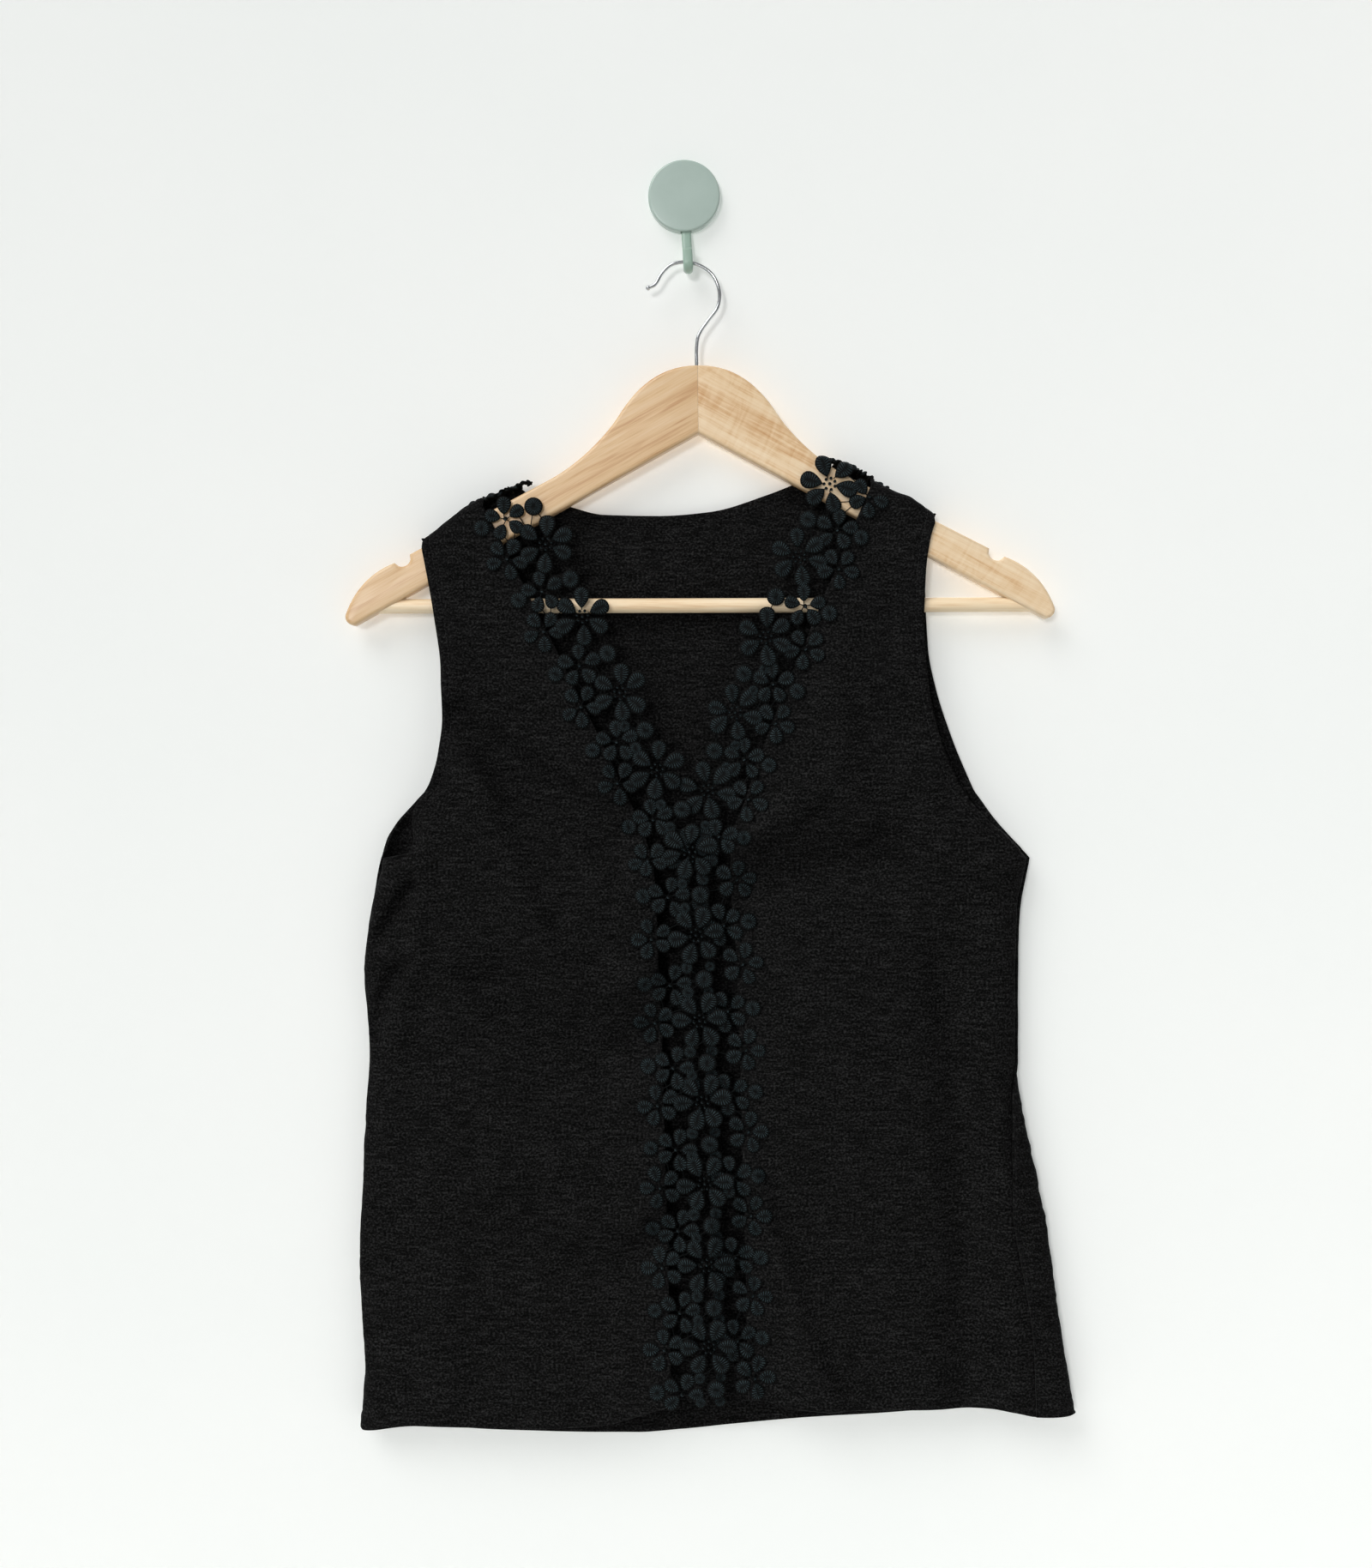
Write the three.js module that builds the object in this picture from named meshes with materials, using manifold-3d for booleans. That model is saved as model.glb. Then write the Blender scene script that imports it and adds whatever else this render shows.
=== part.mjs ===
// A sleeveless V-neck blouse with two lace trims, on a wooden hanger that hangs from a round wall hook.
//
// Millimetres, +Z up, the front faces -Y and +X is to the right as seen from the front. The origin is the
// centre of the wall hook's flat back, which lies on the wall plane y = 0. "depth" always means the distance
// out from that plane, so a point's y is -depth. "out" is the distance from the plane x = 0 to either side.

import * as THREE from 'three';
import { mergeVertices } from 'three/addons/utils/BufferGeometryUtils.js';
import Module from 'manifold-3d';

const wasm = await Module();
wasm.setup();

// ---------------------------------------------------------------------------------------- driving dimensions

const GAP = 0.3; // air between two pieces that touch on the real object

// wooden hanger
const HANGER_SPAN = 445;
const HANGER_THICKNESS = 12;
const HANGER_DEPTH = 14; // depth of the hanger's middle plane
const HANGER_APEX = { x: 8.4, z: -109.1 };
const HANGER_TILT = 0.6; // degrees: the left end hangs lower
const ARM_ROUNDING = 2.4;
const MITRE_HEIGHT = 42.6;
const TIP_DROP = 160.3; // from the apex down to the tip of an arm
const NOTCH = { out: 186.1, drop: 118.4, radius: 5.5 }; // strap notch in the upper edge
const BAR_DIAMETER = 9.2;
const BAR_DROP = 149.8; // from the apex down to the bar's axis
const BAR_LEAN = 1.5; // in the tilted hanger the bar's right end lies this much lower and its left end higher

// wire hook
const WIRE_DIAMETER = 2.3;
const WIRE_BALL_DIAMETER = 3.2;
const WIRE = [
  { x: -22.5, z: -59.9 },
  { x: -18.2, z: -57.7 },
  { x: -14.4, z: -51.5 },
  { x: -8.5, z: -45.7 },
  { x: 1.5, z: -43.7 },
  { x: 10.9, z: -46.4 },
  { x: 18.4, z: -52.6 },
  { x: 22.2, z: -63.3 },
  { x: 20.7, z: -72.5 },
  { x: 14.6, z: -80.9 },
  { x: 9.2, z: -89.3 },
  { x: 7.9, z: -96.3 },
];
const WIRE_TOP = WIRE[4];

// wall hook
const DISC_DIAMETER = 45.4;
const DISC_THICKNESS = 7.5;
const DISC_ROUNDING = 1.4;
const J_WIDTH = 6.1;
const J_THICKNESS = 4;
const J_FOOT = 1.4; // how much thicker it is under the trough
const J_LEAN = 3; // degrees: its foot stands to the right
const J_INNER_RADIUS = 2.6;
const J_TIP_TOP = -35.9;
const J_ROOT = { x: 1.2, depth: 3.9, z: -19.8 }; // where the hook's leg starts, inside the disc's slot

// blouse
const CLOTH = 1.6; // wall of the crepe panels
const LACE = 1.6; // wall of the lace trims
const SHOULDER_RADIUS = 5; // bend from the level top of the shoulder down the front or the back
const BACK_DEPTH = 6; // depth of the back panel's outer face at the shoulders
const UNDERARM = -417.3;
const ARMHOLE_CLOSING = 46; // height over which the two armhole edges come together
const SIDE_BEND = { left: 15, right: 26 }; // how far in from the side the panels start to turn back
const NECK_POINT = { left: 106, right: 97 }; // where the back neck leaves the shoulder seam
const NECK_RELEASE = 6; // width over which the back neck drops behind the hanger
const SEAM_HALF_GAP = 0.2; // each panel stops this far from the middle of a seam

// lace trims: distances square across a trim, from the line through its large flowers
const TRIM = { open: -17, flowers: 0, dip: 18.9, cloth: 24, sewn: 36.5 };
const TRIM_END = { left: 96, right: 87.5 }; // where the trims end at the neck side of the shoulder seam
const CROSSING = { top: -331, bottom: -353 }; // heights between which the right trim dips behind the left
const UNDER_TRIM = 0.8; // how far the right trim's face lies under the cloth's face below the crossing

// -------------------------------------------------------------------------------------- the blouse's outlines

const SHOULDER = {
  left: [
    { out: 60, z: -179.3 },
    { out: 96, z: -181.8 },
    { out: 115, z: -188.5 },
    { out: 135, z: -196.6 },
    { out: 149, z: -207.3 },
    { out: 164.5, z: -219.7 },
  ],
  right: [
    { out: 60, z: -161.3 },
    { out: 87, z: -167 },
    { out: 106, z: -173.1 },
    { out: 125, z: -184.9 },
    { out: 143, z: -192.6 },
    { out: 158, z: -204.3 },
  ],
};

const ARMHOLE = {
  left: [
    { z: -219.3, out: 164.5 },
    { z: -242.3, out: 160 },
    { z: -265.3, out: 156 },
    { z: -304.3, out: 151 },
    { z: -329.3, out: 150.6 },
    { z: -351.3, out: 153 },
    { z: -369.3, out: 158 },
    { z: -391.3, out: 170 },
    { z: UNDERARM, out: 188 },
  ],
  right: [
    { z: -204.3, out: 157.5 },
    { z: -219.3, out: 153.2 },
    { z: -239.3, out: 150.7 },
    { z: -269.3, out: 149.6 },
    { z: -312.3, out: 152.8 },
    { z: -333.3, out: 157 },
    { z: -349.3, out: 161.7 },
    { z: -362.3, out: 167 },
    { z: -373.3, out: 172.5 },
    { z: -392.3, out: 188.5 },
    { z: -404.3, out: 202.5 },
    { z: UNDERARM, out: 214.8 },
  ],
};

const BACK_ARMHOLE = {
  left: [
    { z: -219.3, out: 164.5 },
    { z: -263.3, out: 156.5 },
    { z: -304.3, out: 151.5 },
    { z: -329.3, out: 151.5 },
    { z: -367.3, out: 159.5 },
    { z: -381.3, out: 166.8 },
    { z: -397.3, out: 179.8 },
    { z: -406.3, out: 185 },
    { z: UNDERARM, out: 188 },
  ],
  right: [
    { z: -204.3, out: 157.5 },
    { z: -241.3, out: 152 },
    { z: -285.3, out: 153.9 },
    { z: -309.3, out: 158.5 },
    { z: -341.3, out: 168.8 },
    { z: -367.3, out: 179.6 },
    { z: -387.3, out: 189.2 },
    { z: -404.3, out: 202.5 },
    { z: UNDERARM, out: 214.8 },
  ],
};

const SIDE = {
  left: [
    { z: UNDERARM, out: 188 },
    { z: -451.3, out: 196 },
    { z: -488.3, out: 200 },
    { z: -537.3, out: 196.8 },
    { z: -578.3, out: 199.2 },
    { z: -619.3, out: 200.8 },
    { z: -666.3, out: 203 },
    { z: -701.3, out: 201.5 },
    { z: -736.3, out: 199.5 },
    { z: -774.3, out: 202.2 },
  ],
  right: [
    { z: UNDERARM, out: 214.8 },
    { z: -448.3, out: 209 },
    { z: -471.3, out: 207.8 },
    { z: -547.3, out: 207.4 },
    { z: -585.3, out: 213.3 },
    { z: -635.3, out: 224.3 },
    { z: -705.3, out: 234.3 },
    { z: -765.3, out: 243.5 },
  ],
};

// how far the side seam has swung round onto the front, measured along the cloth in from the side
const SEAM_SWING = {
  left: [
    { z: UNDERARM, turn: 0 },
    { z: -774.3, turn: 0 },
  ],
  right: [
    { z: -541.3, turn: 0 },
    { z: -561.3, turn: 9 },
    { z: -585.3, turn: 14 },
    { z: -611.3, turn: 18.5 },
    { z: -645.3, turn: 22.8 },
    { z: -705.3, turn: 21 },
    { z: -765.3, turn: 25 },
  ],
};

const BACK_NECK = [
  { x: -106, z: -184.5 },
  { x: -73, z: -195.6 },
  { x: -50, z: -201 },
  { x: -16, z: -201.7 },
  { x: 16, z: -199.2 },
  { x: 52, z: -188.6 },
  { x: 97, z: -169.6 },
];

// the line through the middles of each trim's large flowers
const FLOWER_LINE = {
  left: [
    { z: -161.3, x: -117 },
    { z: -221.3, x: -86 },
    { z: -313.3, x: -40 },
    { z: -361.3, x: -16.9 },
    { z: -396.3, x: -1.5 },
    { z: -421.3, x: 5 },
    { z: -464.3, x: 7.6 },
    { z: -568.3, x: 11.4 },
    { z: -776.3, x: 17 },
  ],
  right: [
    { z: -151.3, x: 105 },
    { z: -184.3, x: 90.5 },
    { z: -279.3, x: 50.7 },
    { z: -326.3, x: 31.5 },
    { z: -374.3, x: 14.5 },
    { z: -401.3, x: 6 },
    { z: -421.3, x: 5 },
    { z: -464.3, x: 7.6 },
    { z: -568.3, x: 11.4 },
    { z: -776.3, x: 17 },
  ],
};

const FRONT_HEM = [
  { x: -202, z: -774.3 },
  { x: -165, z: -769.3 },
  { x: -93, z: -770.7 },
  { x: -52, z: -768.7 },
  { x: -16, z: -759.3 },
  { x: 12, z: -752.8 },
  { x: 44, z: -753.5 },
  { x: 70, z: -759.3 },
  { x: 190, z: -758.9 },
  { x: 205, z: -760.7 },
  { x: 218, z: -763.3 },
  { x: 243, z: -764.8 },
];

const BACK_HEM = [
  { x: -202, z: -774.3 },
  { x: -107, z: -778.3 },
  { x: -53, z: -779.5 },
  { x: -29, z: -779.5 },
  { x: 1, z: -777.9 },
  { x: 32, z: -774.3 },
  { x: 76, z: -770.3 },
  { x: 170, z: -764.9 },
  { x: 205, z: -760.7 },
  { x: 218, z: -763.3 },
  { x: 243, z: -764.8 },
];

// depth of the outer face of the front and of the back
const FRONT_DEPTH = [
  { z: -161.3, depth: 22.1 },
  { z: -261.3, depth: 22.4 },
  { z: -331.3, depth: 24 },
  { z: -421.3, depth: 26.5 },
  { z: -541.3, depth: 24.5 },
  { z: -661.3, depth: 25.5 },
  { z: -776.3, depth: 28 },
];

const BACK_DEPTHS = [
  { z: -161.3, depth: BACK_DEPTH },
  { z: -301.3, depth: 5.8 },
  { z: -421.3, depth: 5 },
  { z: -601.3, depth: 4.4 },
  { z: -776.3, depth: 5 },
];

// swellings of the cloth: the middle, half width and half height, and how far they stand out
const FRONT_SWELLS = [
  { x: -72, z: -459.3, wide: 52, tall: 46, rise: 6 },
  { x: -66, z: -589.3, wide: 58, tall: 56, rise: 3.5 },
  { x: 74, z: -379.3, wide: 44, tall: 36, rise: 4 },
  { x: 92, z: -513.3, wide: 62, tall: 66, rise: 3 },
];

const BACK_SWELLS = [
  { x: -80, z: -351.3, wide: 60, tall: 70, rise: 1.8 },
  { x: 84, z: -373.3, wide: 64, tall: 66, rise: 1.8 },
  { x: 20, z: -561.3, wide: 90, tall: 80, rise: -1.6 },
];

// the largest folds: the two ends, the half width and how far they stand out (a trough goes in)
const FRONT_FOLDS = [
  { x1: -142, z1: -313.3, x2: -44, z2: -385.3, reach: 15, rise: 2.6 },
  { x1: -140, z1: -335.3, x2: -98, z2: -433.3, reach: 12, rise: 1.6 },
  { x1: -124, z1: -479.3, x2: -58, z2: -533.3, reach: 16, rise: -3 },
  { x1: 40, z1: -425.3, x2: 118, z2: -415.3, reach: 16, rise: -3 },
  { x1: 172, z1: -451.3, x2: 198, z2: -741.3, reach: 15, rise: -2.4 },
  { x1: 40, z1: -613.3, x2: 92, z2: -767.3, reach: 14, rise: 3 },
  { x1: -166, z1: -411.3, x2: -184, z2: -463.3, reach: 9, rise: -4 },
];

const BACK_FOLDS = [
  { x1: -130, z1: -421.3, x2: -150, z2: -777.3, reach: 18, rise: 2 },
  { x1: 120, z1: -441.3, x2: 150, z2: -771.3, reach: 20, rise: 2.2 },
  { x1: 10, z1: -601.3, x2: 4, z2: -777.3, reach: 22, rise: 1.8 },
];

// facets
const SHOULDER_ROWS = 3;
const ARMHOLE_ROWS = 11;
const BODY_ROWS = 12;
const FLAT_COLUMNS = 6;
const BEND_COLUMNS = 4;
// where the back panel's columns lie between its two bends, closer together beside the neck
const BACK_COLUMNS = [0, 0.08, 0.154, 0.165, 0.177, 0.25, 0.35, 0.46, 0.57, 0.68, 0.77, 0.856, 0.867, 0.878, 0.94, 1];
const BACK_BEND_COLUMNS = 6;
const WIRE_SIDES = 10;
const WIRE_STEPS = 44;

// ------------------------------------------------------------------------------------------ small arithmetic

const SIGN = { left: -1, right: 1 };
const radians = THREE.MathUtils.degToRad;
const mix = THREE.MathUtils.lerp;
const ease = THREE.MathUtils.smoothstep;
const point = (x, depth, z) => new THREE.Vector3(x, -depth, z);

// Reads column `value` of a table where column `key` is t, on a smooth curve through the rows.
function read(table, key, value, t) {
  const rows = table[0][key] < table.at(-1)[key] ? table : [...table].reverse();
  const last = rows.length - 1;
  let i = 0;
  while (i < last - 1 && t > rows[i + 1][key]) i++;
  const slope = (j) => (rows[j + 1][value] - rows[j][value]) / (rows[j + 1][key] - rows[j][key]);
  const tangent = (a, b) => (a * b <= 0 ? 0 : (2 * a * b) / (a + b));
  const here = slope(i);
  const before = i > 0 ? tangent(slope(i - 1), here) : here;
  const after = i < last - 1 ? tangent(here, slope(i + 1)) : here;
  const span = rows[i + 1][key] - rows[i][key];
  const u = (t - rows[i][key]) / span;
  if (u < 0) return rows[i][value] + before * u * span;
  if (u > 1) return rows[i + 1][value] + after * (u - 1) * span;
  const rise = u * u * (3 - 2 * u);
  const bend = u * (1 - u) * span;
  return mix(rows[i][value], rows[i + 1][value], rise) + bend * ((1 - u) * before - u * after);
}

// How far the swellings and folds lift a panel at a point.
function relief(swells, folds, x, z) {
  let rise = 0;
  for (const s of swells) {
    rise += s.rise * Math.exp(-(((x - s.x) / s.wide) ** 2) - ((z - s.z) / s.tall) ** 2);
  }
  for (const f of folds) {
    const fold = new THREE.Line3(new THREE.Vector3(f.x1, 0, f.z1), new THREE.Vector3(f.x2, 0, f.z2));
    const place = new THREE.Vector3(x, 0, z);
    const nearest = fold.closestPointToPoint(place, true, new THREE.Vector3());
    rise += f.rise * Math.exp(-nearest.distanceToSquared(place) / f.reach ** 2);
  }
  return rise;
}

// The value that a rule settles on when its answer is fed back to it.
function settle(rule, start) {
  let value = start;
  for (let i = 0; i < 16; i++) value = rule(value);
  return value;
}

// ------------------------------------------------------------------------------------------ building helpers

function signedVolume(geometry) {
  const corners = geometry.attributes.position;
  const index = geometry.index.array;
  const [a, b, c] = [new THREE.Vector3(), new THREE.Vector3(), new THREE.Vector3()];
  let sum = 0;
  for (let i = 0; i < index.length; i += 3) {
    a.fromBufferAttribute(corners, index[i]);
    b.fromBufferAttribute(corners, index[i + 1]);
    c.fromBufferAttribute(corners, index[i + 2]);
    sum += a.dot(b.cross(c)) / 6;
  }
  return sum;
}

// Turns a closed mesh's faces outward.
function facingOut(geometry) {
  if (signedVolume(geometry) > 0) return geometry;
  const index = geometry.index.array;
  for (let i = 0; i < index.length; i += 3) {
    [index[i + 1], index[i + 2]] = [index[i + 2], index[i + 1]];
  }
  return geometry;
}

// A closed wall between two grids of points of the same size, grid[row][column].
function wall(outer, inner) {
  const rows = outer.length;
  const columns = outer[0].length;
  const corners = [...outer.flat(), ...inner.flat()].flatMap((p) => p.toArray());
  const index = [];
  const near = (i, j) => i * columns + j;
  const far = (i, j) => (rows + i) * columns + j;
  const quad = (a, b, c, d) => index.push(a, b, c, a, c, d);
  for (let i = 0; i < rows - 1; i++) {
    for (let j = 0; j < columns - 1; j++) {
      quad(near(i, j), near(i + 1, j), near(i + 1, j + 1), near(i, j + 1));
      quad(far(i, j), far(i, j + 1), far(i + 1, j + 1), far(i + 1, j));
    }
    quad(far(i, 0), far(i + 1, 0), near(i + 1, 0), near(i, 0));
    quad(near(i, columns - 1), near(i + 1, columns - 1), far(i + 1, columns - 1), far(i, columns - 1));
  }
  for (let j = 0; j < columns - 1; j++) {
    quad(far(0, j), near(0, j), near(0, j + 1), far(0, j + 1));
    quad(near(rows - 1, j), far(rows - 1, j), far(rows - 1, j + 1), near(rows - 1, j + 1));
  }
  const geometry = new THREE.BufferGeometry();
  geometry.setAttribute('position', new THREE.Float32BufferAttribute(corners, 3));
  geometry.setIndex(index);
  return facingOut(geometry);
}

// The same shape with only its positions left, its shared corners merged and its faces outward.
function closed(geometry) {
  const bare = new THREE.BufferGeometry();
  bare.setAttribute('position', geometry.attributes.position);
  if (geometry.index) bare.setIndex(geometry.index);
  return facingOut(mergeVertices(bare, 1e-4));
}

function solid(geometry) {
  const bare = closed(geometry);
  return new wasm.Manifold(
    new wasm.Mesh({
      numProp: 3,
      vertProperties: new Float32Array(bare.attributes.position.array),
      triVerts: new Uint32Array(bare.index.array),
    }),
  );
}

function geometryOf(manifold) {
  const mesh = manifold.getMesh();
  const geometry = new THREE.BufferGeometry();
  geometry.setAttribute('position', new THREE.BufferAttribute(mesh.vertProperties, 3));
  geometry.setIndex(new THREE.BufferAttribute(mesh.triVerts, 1));
  return geometry;
}

function piece(name, geometry, material) {
  const mesh = new THREE.Mesh(geometry, material);
  mesh.name = name;
  geometry.computeVertexNormals();
  return mesh;
}

// ------------------------------------------------------------------------------------------------- materials

const crepe = new THREE.MeshStandardMaterial({ color: '#17171a', roughness: 0.92 });
const guipure = new THREE.MeshStandardMaterial({ color: '#10151a', roughness: 0.8 });
const wood = new THREE.MeshStandardMaterial({ color: '#dcb888', roughness: 0.5 });
const chrome = new THREE.MeshStandardMaterial({ color: '#c8cacb', roughness: 0.2, metalness: 1 });
const sage = new THREE.MeshStandardMaterial({ color: '#a9bfb4', roughness: 0.45 });

// ---------------------------------------------------------------------------------------------------- blouse

const frontDepth = (x, z) => read(FRONT_DEPTH, 'z', 'depth', z) + relief(FRONT_SWELLS, FRONT_FOLDS, x, z);
const backDepth = (x, z) => read(BACK_DEPTHS, 'z', 'depth', z) - relief(BACK_SWELLS, BACK_FOLDS, x, z);
const seamHeight = (x) => read(x < 0 ? SHOULDER.left : SHOULDER.right, 'out', 'z', Math.abs(x));

// The back panel's top edge: the neck between the two shoulder seams.
function backTop(x) {
  const onNeck = x > -NECK_POINT.left && x < NECK_POINT.right;
  return onNeck ? read(BACK_NECK, 'x', 'z', x) : seamHeight(x);
}

// Rows from the shoulder seam down. `over` says how far round the shoulder's bend a row lies, from -1 at the
// seam and 0 where the bend starts to 1 where the cloth hangs; `arm` how far down the armhole it lies, and
// `body` how far from the underarm to the hem.
const ROWS = [{ over: -1, arm: 0, body: 0 }];
for (let i = 0; i <= SHOULDER_ROWS; i++) ROWS.push({ over: i / SHOULDER_ROWS, arm: 0, body: 0 });
for (let i = 1; i <= ARMHOLE_ROWS; i++) ROWS.push({ over: 1, arm: i / ARMHOLE_ROWS, body: 0 });
for (let i = 1; i <= BODY_ROWS; i++) ROWS.push({ over: 1, arm: 1, body: i / BODY_ROWS });

// Height of a row where the panel's top edge and hem are at the given heights.
function rowHeight(row, top, hem) {
  return row.body > 0 ? mix(UNDERARM, hem, row.body) : mix(top - SHOULDER_RADIUS, UNDERARM, row.arm);
}

const frontRowHeight = (row, x) => rowHeight(row, seamHeight(x), read(FRONT_HEM, 'x', 'z', x));
const backRowHeight = (row, x) => rowHeight(row, backTop(x), read(BACK_HEM, 'x', 'z', x));

// Where a row of a panel meets the side: how far out that is, how closed the armhole is there (1 below it), how
// wide the bend is and how far the seam has swung to the front.
function rowEnd(side, row, heightAt, armhole) {
  const sign = SIGN[side];
  const outAt = (z) => read(z > UNDERARM ? armhole[side] : SIDE[side], 'z', 'out', z);
  const z = heightAt(row, settle((x) => sign * outAt(heightAt(row, x)), sign * SIDE[side][0].out));
  return {
    sign,
    out: outAt(z),
    closed: 1 - ease(z, UNDERARM, UNDERARM + ARMHOLE_CLOSING),
    bend: SIDE_BEND[side],
    swing: z < SEAM_SWING[side][0].z ? read(SEAM_SWING[side], 'z', 'turn', z) : 0,
  };
}

// A point `girth` mm of cloth in from the side, on the front (girth > 0) or on the back (girth < 0), and
// `inset` mm under the outer face. The two faces bend towards each other and meet in the hanger's plane.
function bendPoint(row, end, girth, inset) {
  const turn = Math.min(1, Math.abs(girth) / end.bend) * (Math.PI / 2);
  const straight = Math.max(0, Math.abs(girth) - end.bend);
  const skin = inset * end.closed;
  const x = end.sign * (end.out - skin - (end.bend - skin) * (1 - Math.cos(turn)) - straight);
  const place = (girth > 0 ? frontPoint : backPoint)(row, x, inset);
  place.y = mix(place.y, -HANGER_DEPTH, end.closed * (1 - Math.sin(turn)));
  return place;
}

// A point round the shoulder's bend, over the hanger's edge: `face` is the depth of the panel's outer face.
function shoulderPoint(row, x, face, inset) {
  const toward = Math.sign(face - HANGER_DEPTH);
  const top = seamHeight(x);
  if (row.over < 0) return point(x, HANGER_DEPTH + toward * SEAM_HALF_GAP, top - inset);
  const angle = row.over * (Math.PI / 2);
  const radius = SHOULDER_RADIUS - inset;
  const depth = face + toward * (radius * Math.sin(angle) - SHOULDER_RADIUS);
  return point(x, depth, top - SHOULDER_RADIUS + radius * Math.cos(angle));
}

function frontPoint(row, x, inset) {
  const z = frontRowHeight(row, x);
  const face = frontDepth(x, z);
  return row.arm + row.body === 0 ? shoulderPoint(row, x, face, inset) : point(x, face - inset, z);
}

// x of the line that runs `across` mm beside a trim's flowers, where it crosses a row.
function trimLine(side, row, across) {
  const line = (z) => read(FLOWER_LINE[side], 'z', 'x', z);
  return settle((x) => {
    const z = frontRowHeight(row, x);
    return line(z) + SIGN[side] * across * Math.hypot(1, line(z + 1) - line(z));
  }, line(UNDERARM));
}

// One row of a front panel: from the cloth's edge under the trim, past the trim's sewn edge, to the side seam.
function frontRow(side, row, inset) {
  const end = rowEnd(side, row, frontRowHeight, ARMHOLE);
  const sewn = trimLine(side, row, TRIM.sewn);
  const seam = end.swing + SEAM_HALF_GAP;
  const bendStart = SIGN[side] * (end.out - end.swing - end.bend);
  const points = [frontPoint(row, trimLine(side, row, TRIM.cloth), inset)];
  for (let i = 0; i <= FLAT_COLUMNS; i++) {
    points.push(frontPoint(row, mix(sewn, bendStart, i / FLAT_COLUMNS), inset));
  }
  for (let i = 1; i <= BEND_COLUMNS; i++) {
    points.push(bendPoint(row, end, mix(end.swing + end.bend, seam, i / BEND_COLUMNS), inset));
  }
  return points;
}

// One row of a trim: from its open edge to its sewn edge. The right one dips behind the left one below the
// crossing, except over its own panel.
function trimRow(side, row, lift) {
  const stations = [TRIM.open, TRIM.flowers, TRIM.dip, TRIM.cloth, TRIM.sewn];
  return stations.map((across) => {
    const free = trimLine(side, row, across);
    const onShoulder = row.arm + row.body === 0;
    const x = onShoulder ? SIGN[side] * Math.max(Math.abs(free), TRIM_END[side]) : free;
    const dips = side === 'right' && across < TRIM.cloth;
    const dip = dips ? ease(-frontRowHeight(row, x), -CROSSING.top, -CROSSING.bottom) : 0;
    return frontPoint(row, x, mix(-GAP - lift, UNDER_TRIM + LACE - lift, dip));
  });
}

// A point of the back panel between its two side bends. At the shoulders it bends over the hanger's edge, and
// at the neck it hangs straight.
function backPoint(row, x, inset) {
  const z = backRowHeight(row, x);
  const face = backDepth(x, z);
  if (row.arm + row.body > 0) return point(x, face + inset, z);
  const neck = x < 0 ? NECK_POINT.left : NECK_POINT.right;
  const onSeam = ease(Math.abs(x), neck - NECK_RELEASE, neck);
  const hanging = point(x, face + inset, backTop(x) - (SHOULDER_RADIUS * (row.over + 1)) / 2);
  return hanging.lerp(shoulderPoint(row, x, face, inset), onSeam);
}

// The bend of the back panel on one side, from where it starts on the back round to the side seam.
function backBend(side, row, inset) {
  const end = rowEnd(side, row, backRowHeight, BACK_ARMHOLE);
  const seam = end.swing - SEAM_HALF_GAP;
  const points = [];
  for (let i = 1; i <= BACK_BEND_COLUMNS; i++) {
    points.push(bendPoint(row, end, mix(-end.bend, seam, i / BACK_BEND_COLUMNS), inset));
  }
  return { start: end.sign * (end.out - end.bend), points };
}

function backRow(row, inset) {
  const left = backBend('left', row, inset);
  const right = backBend('right', row, inset);
  const flat = BACK_COLUMNS.map((across) => backPoint(row, mix(left.start, right.start, across), inset));
  return [...left.points.reverse(), ...flat, ...right.points];
}

// A wall from one way of laying out a row, read at the outer face and at the inner face.
const clothWall = (rowOf, outerInset, innerInset) =>
  wall(
    ROWS.map((row) => rowOf(row, outerInset)),
    ROWS.map((row) => rowOf(row, innerInset)),
  );

function blouse() {
  const group = new THREE.Group();
  for (const side of ['left', 'right']) {
    const panel = clothWall((row, inset) => frontRow(side, row, inset), 0, CLOTH);
    const trim = clothWall((row, lift) => trimRow(side, row, lift), LACE, 0);
    group.add(piece(`front_${side}`, panel, crepe), piece(`lace_${side}`, trim, guipure));
  }
  group.add(piece('back', clothWall(backRow, 0, CLOTH), crepe));
  return group;
}

// ---------------------------------------------------------------------------------------------------- hanger

// Half of the hanger as seen from the front, from beyond the mitre out to one side.
function armShape(sign) {
  const beyond = -2 * ARM_ROUNDING;
  const half = HANGER_SPAN / 2;
  const at = (out, drop) => [sign * out, -drop];
  const shape = new THREE.Shape();
  shape.moveTo(...at(beyond, 0));
  shape.lineTo(...at(0, 0));
  shape.bezierCurveTo(...at(24, 0), ...at(38.5, 13.5), ...at(49.9, 31.3));
  shape.bezierCurveTo(...at(57.9, 43.8), ...at(75.1, 61), ...at(93.1, 70.4));
  const notchStart = sign > 0 ? 157 : 23;
  const notchEnd = sign > 0 ? 326 : 214;
  shape.absarc(
    sign * NOTCH.out, -NOTCH.drop, NOTCH.radius, radians(notchStart), radians(notchEnd), sign < 0,
  );
  shape.quadraticCurveTo(...at(213, 130), ...at(half - 1, TIP_DROP - 7));
  shape.bezierCurveTo(...at(half, TIP_DROP - 4), ...at(half - 2, TIP_DROP), ...at(half - 7, TIP_DROP));
  shape.lineTo(...at(0, MITRE_HEIGHT));
  shape.lineTo(...at(beyond, MITRE_HEIGHT));
  shape.closePath();
  return shape;
}

// Stands a shape drawn in x and z upright and puts its middle in the hanger's plane.
function stood(geometry, thickness) {
  return geometry.rotateX(Math.PI / 2).translate(0, thickness / 2 - HANGER_DEPTH, 0);
}

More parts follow.
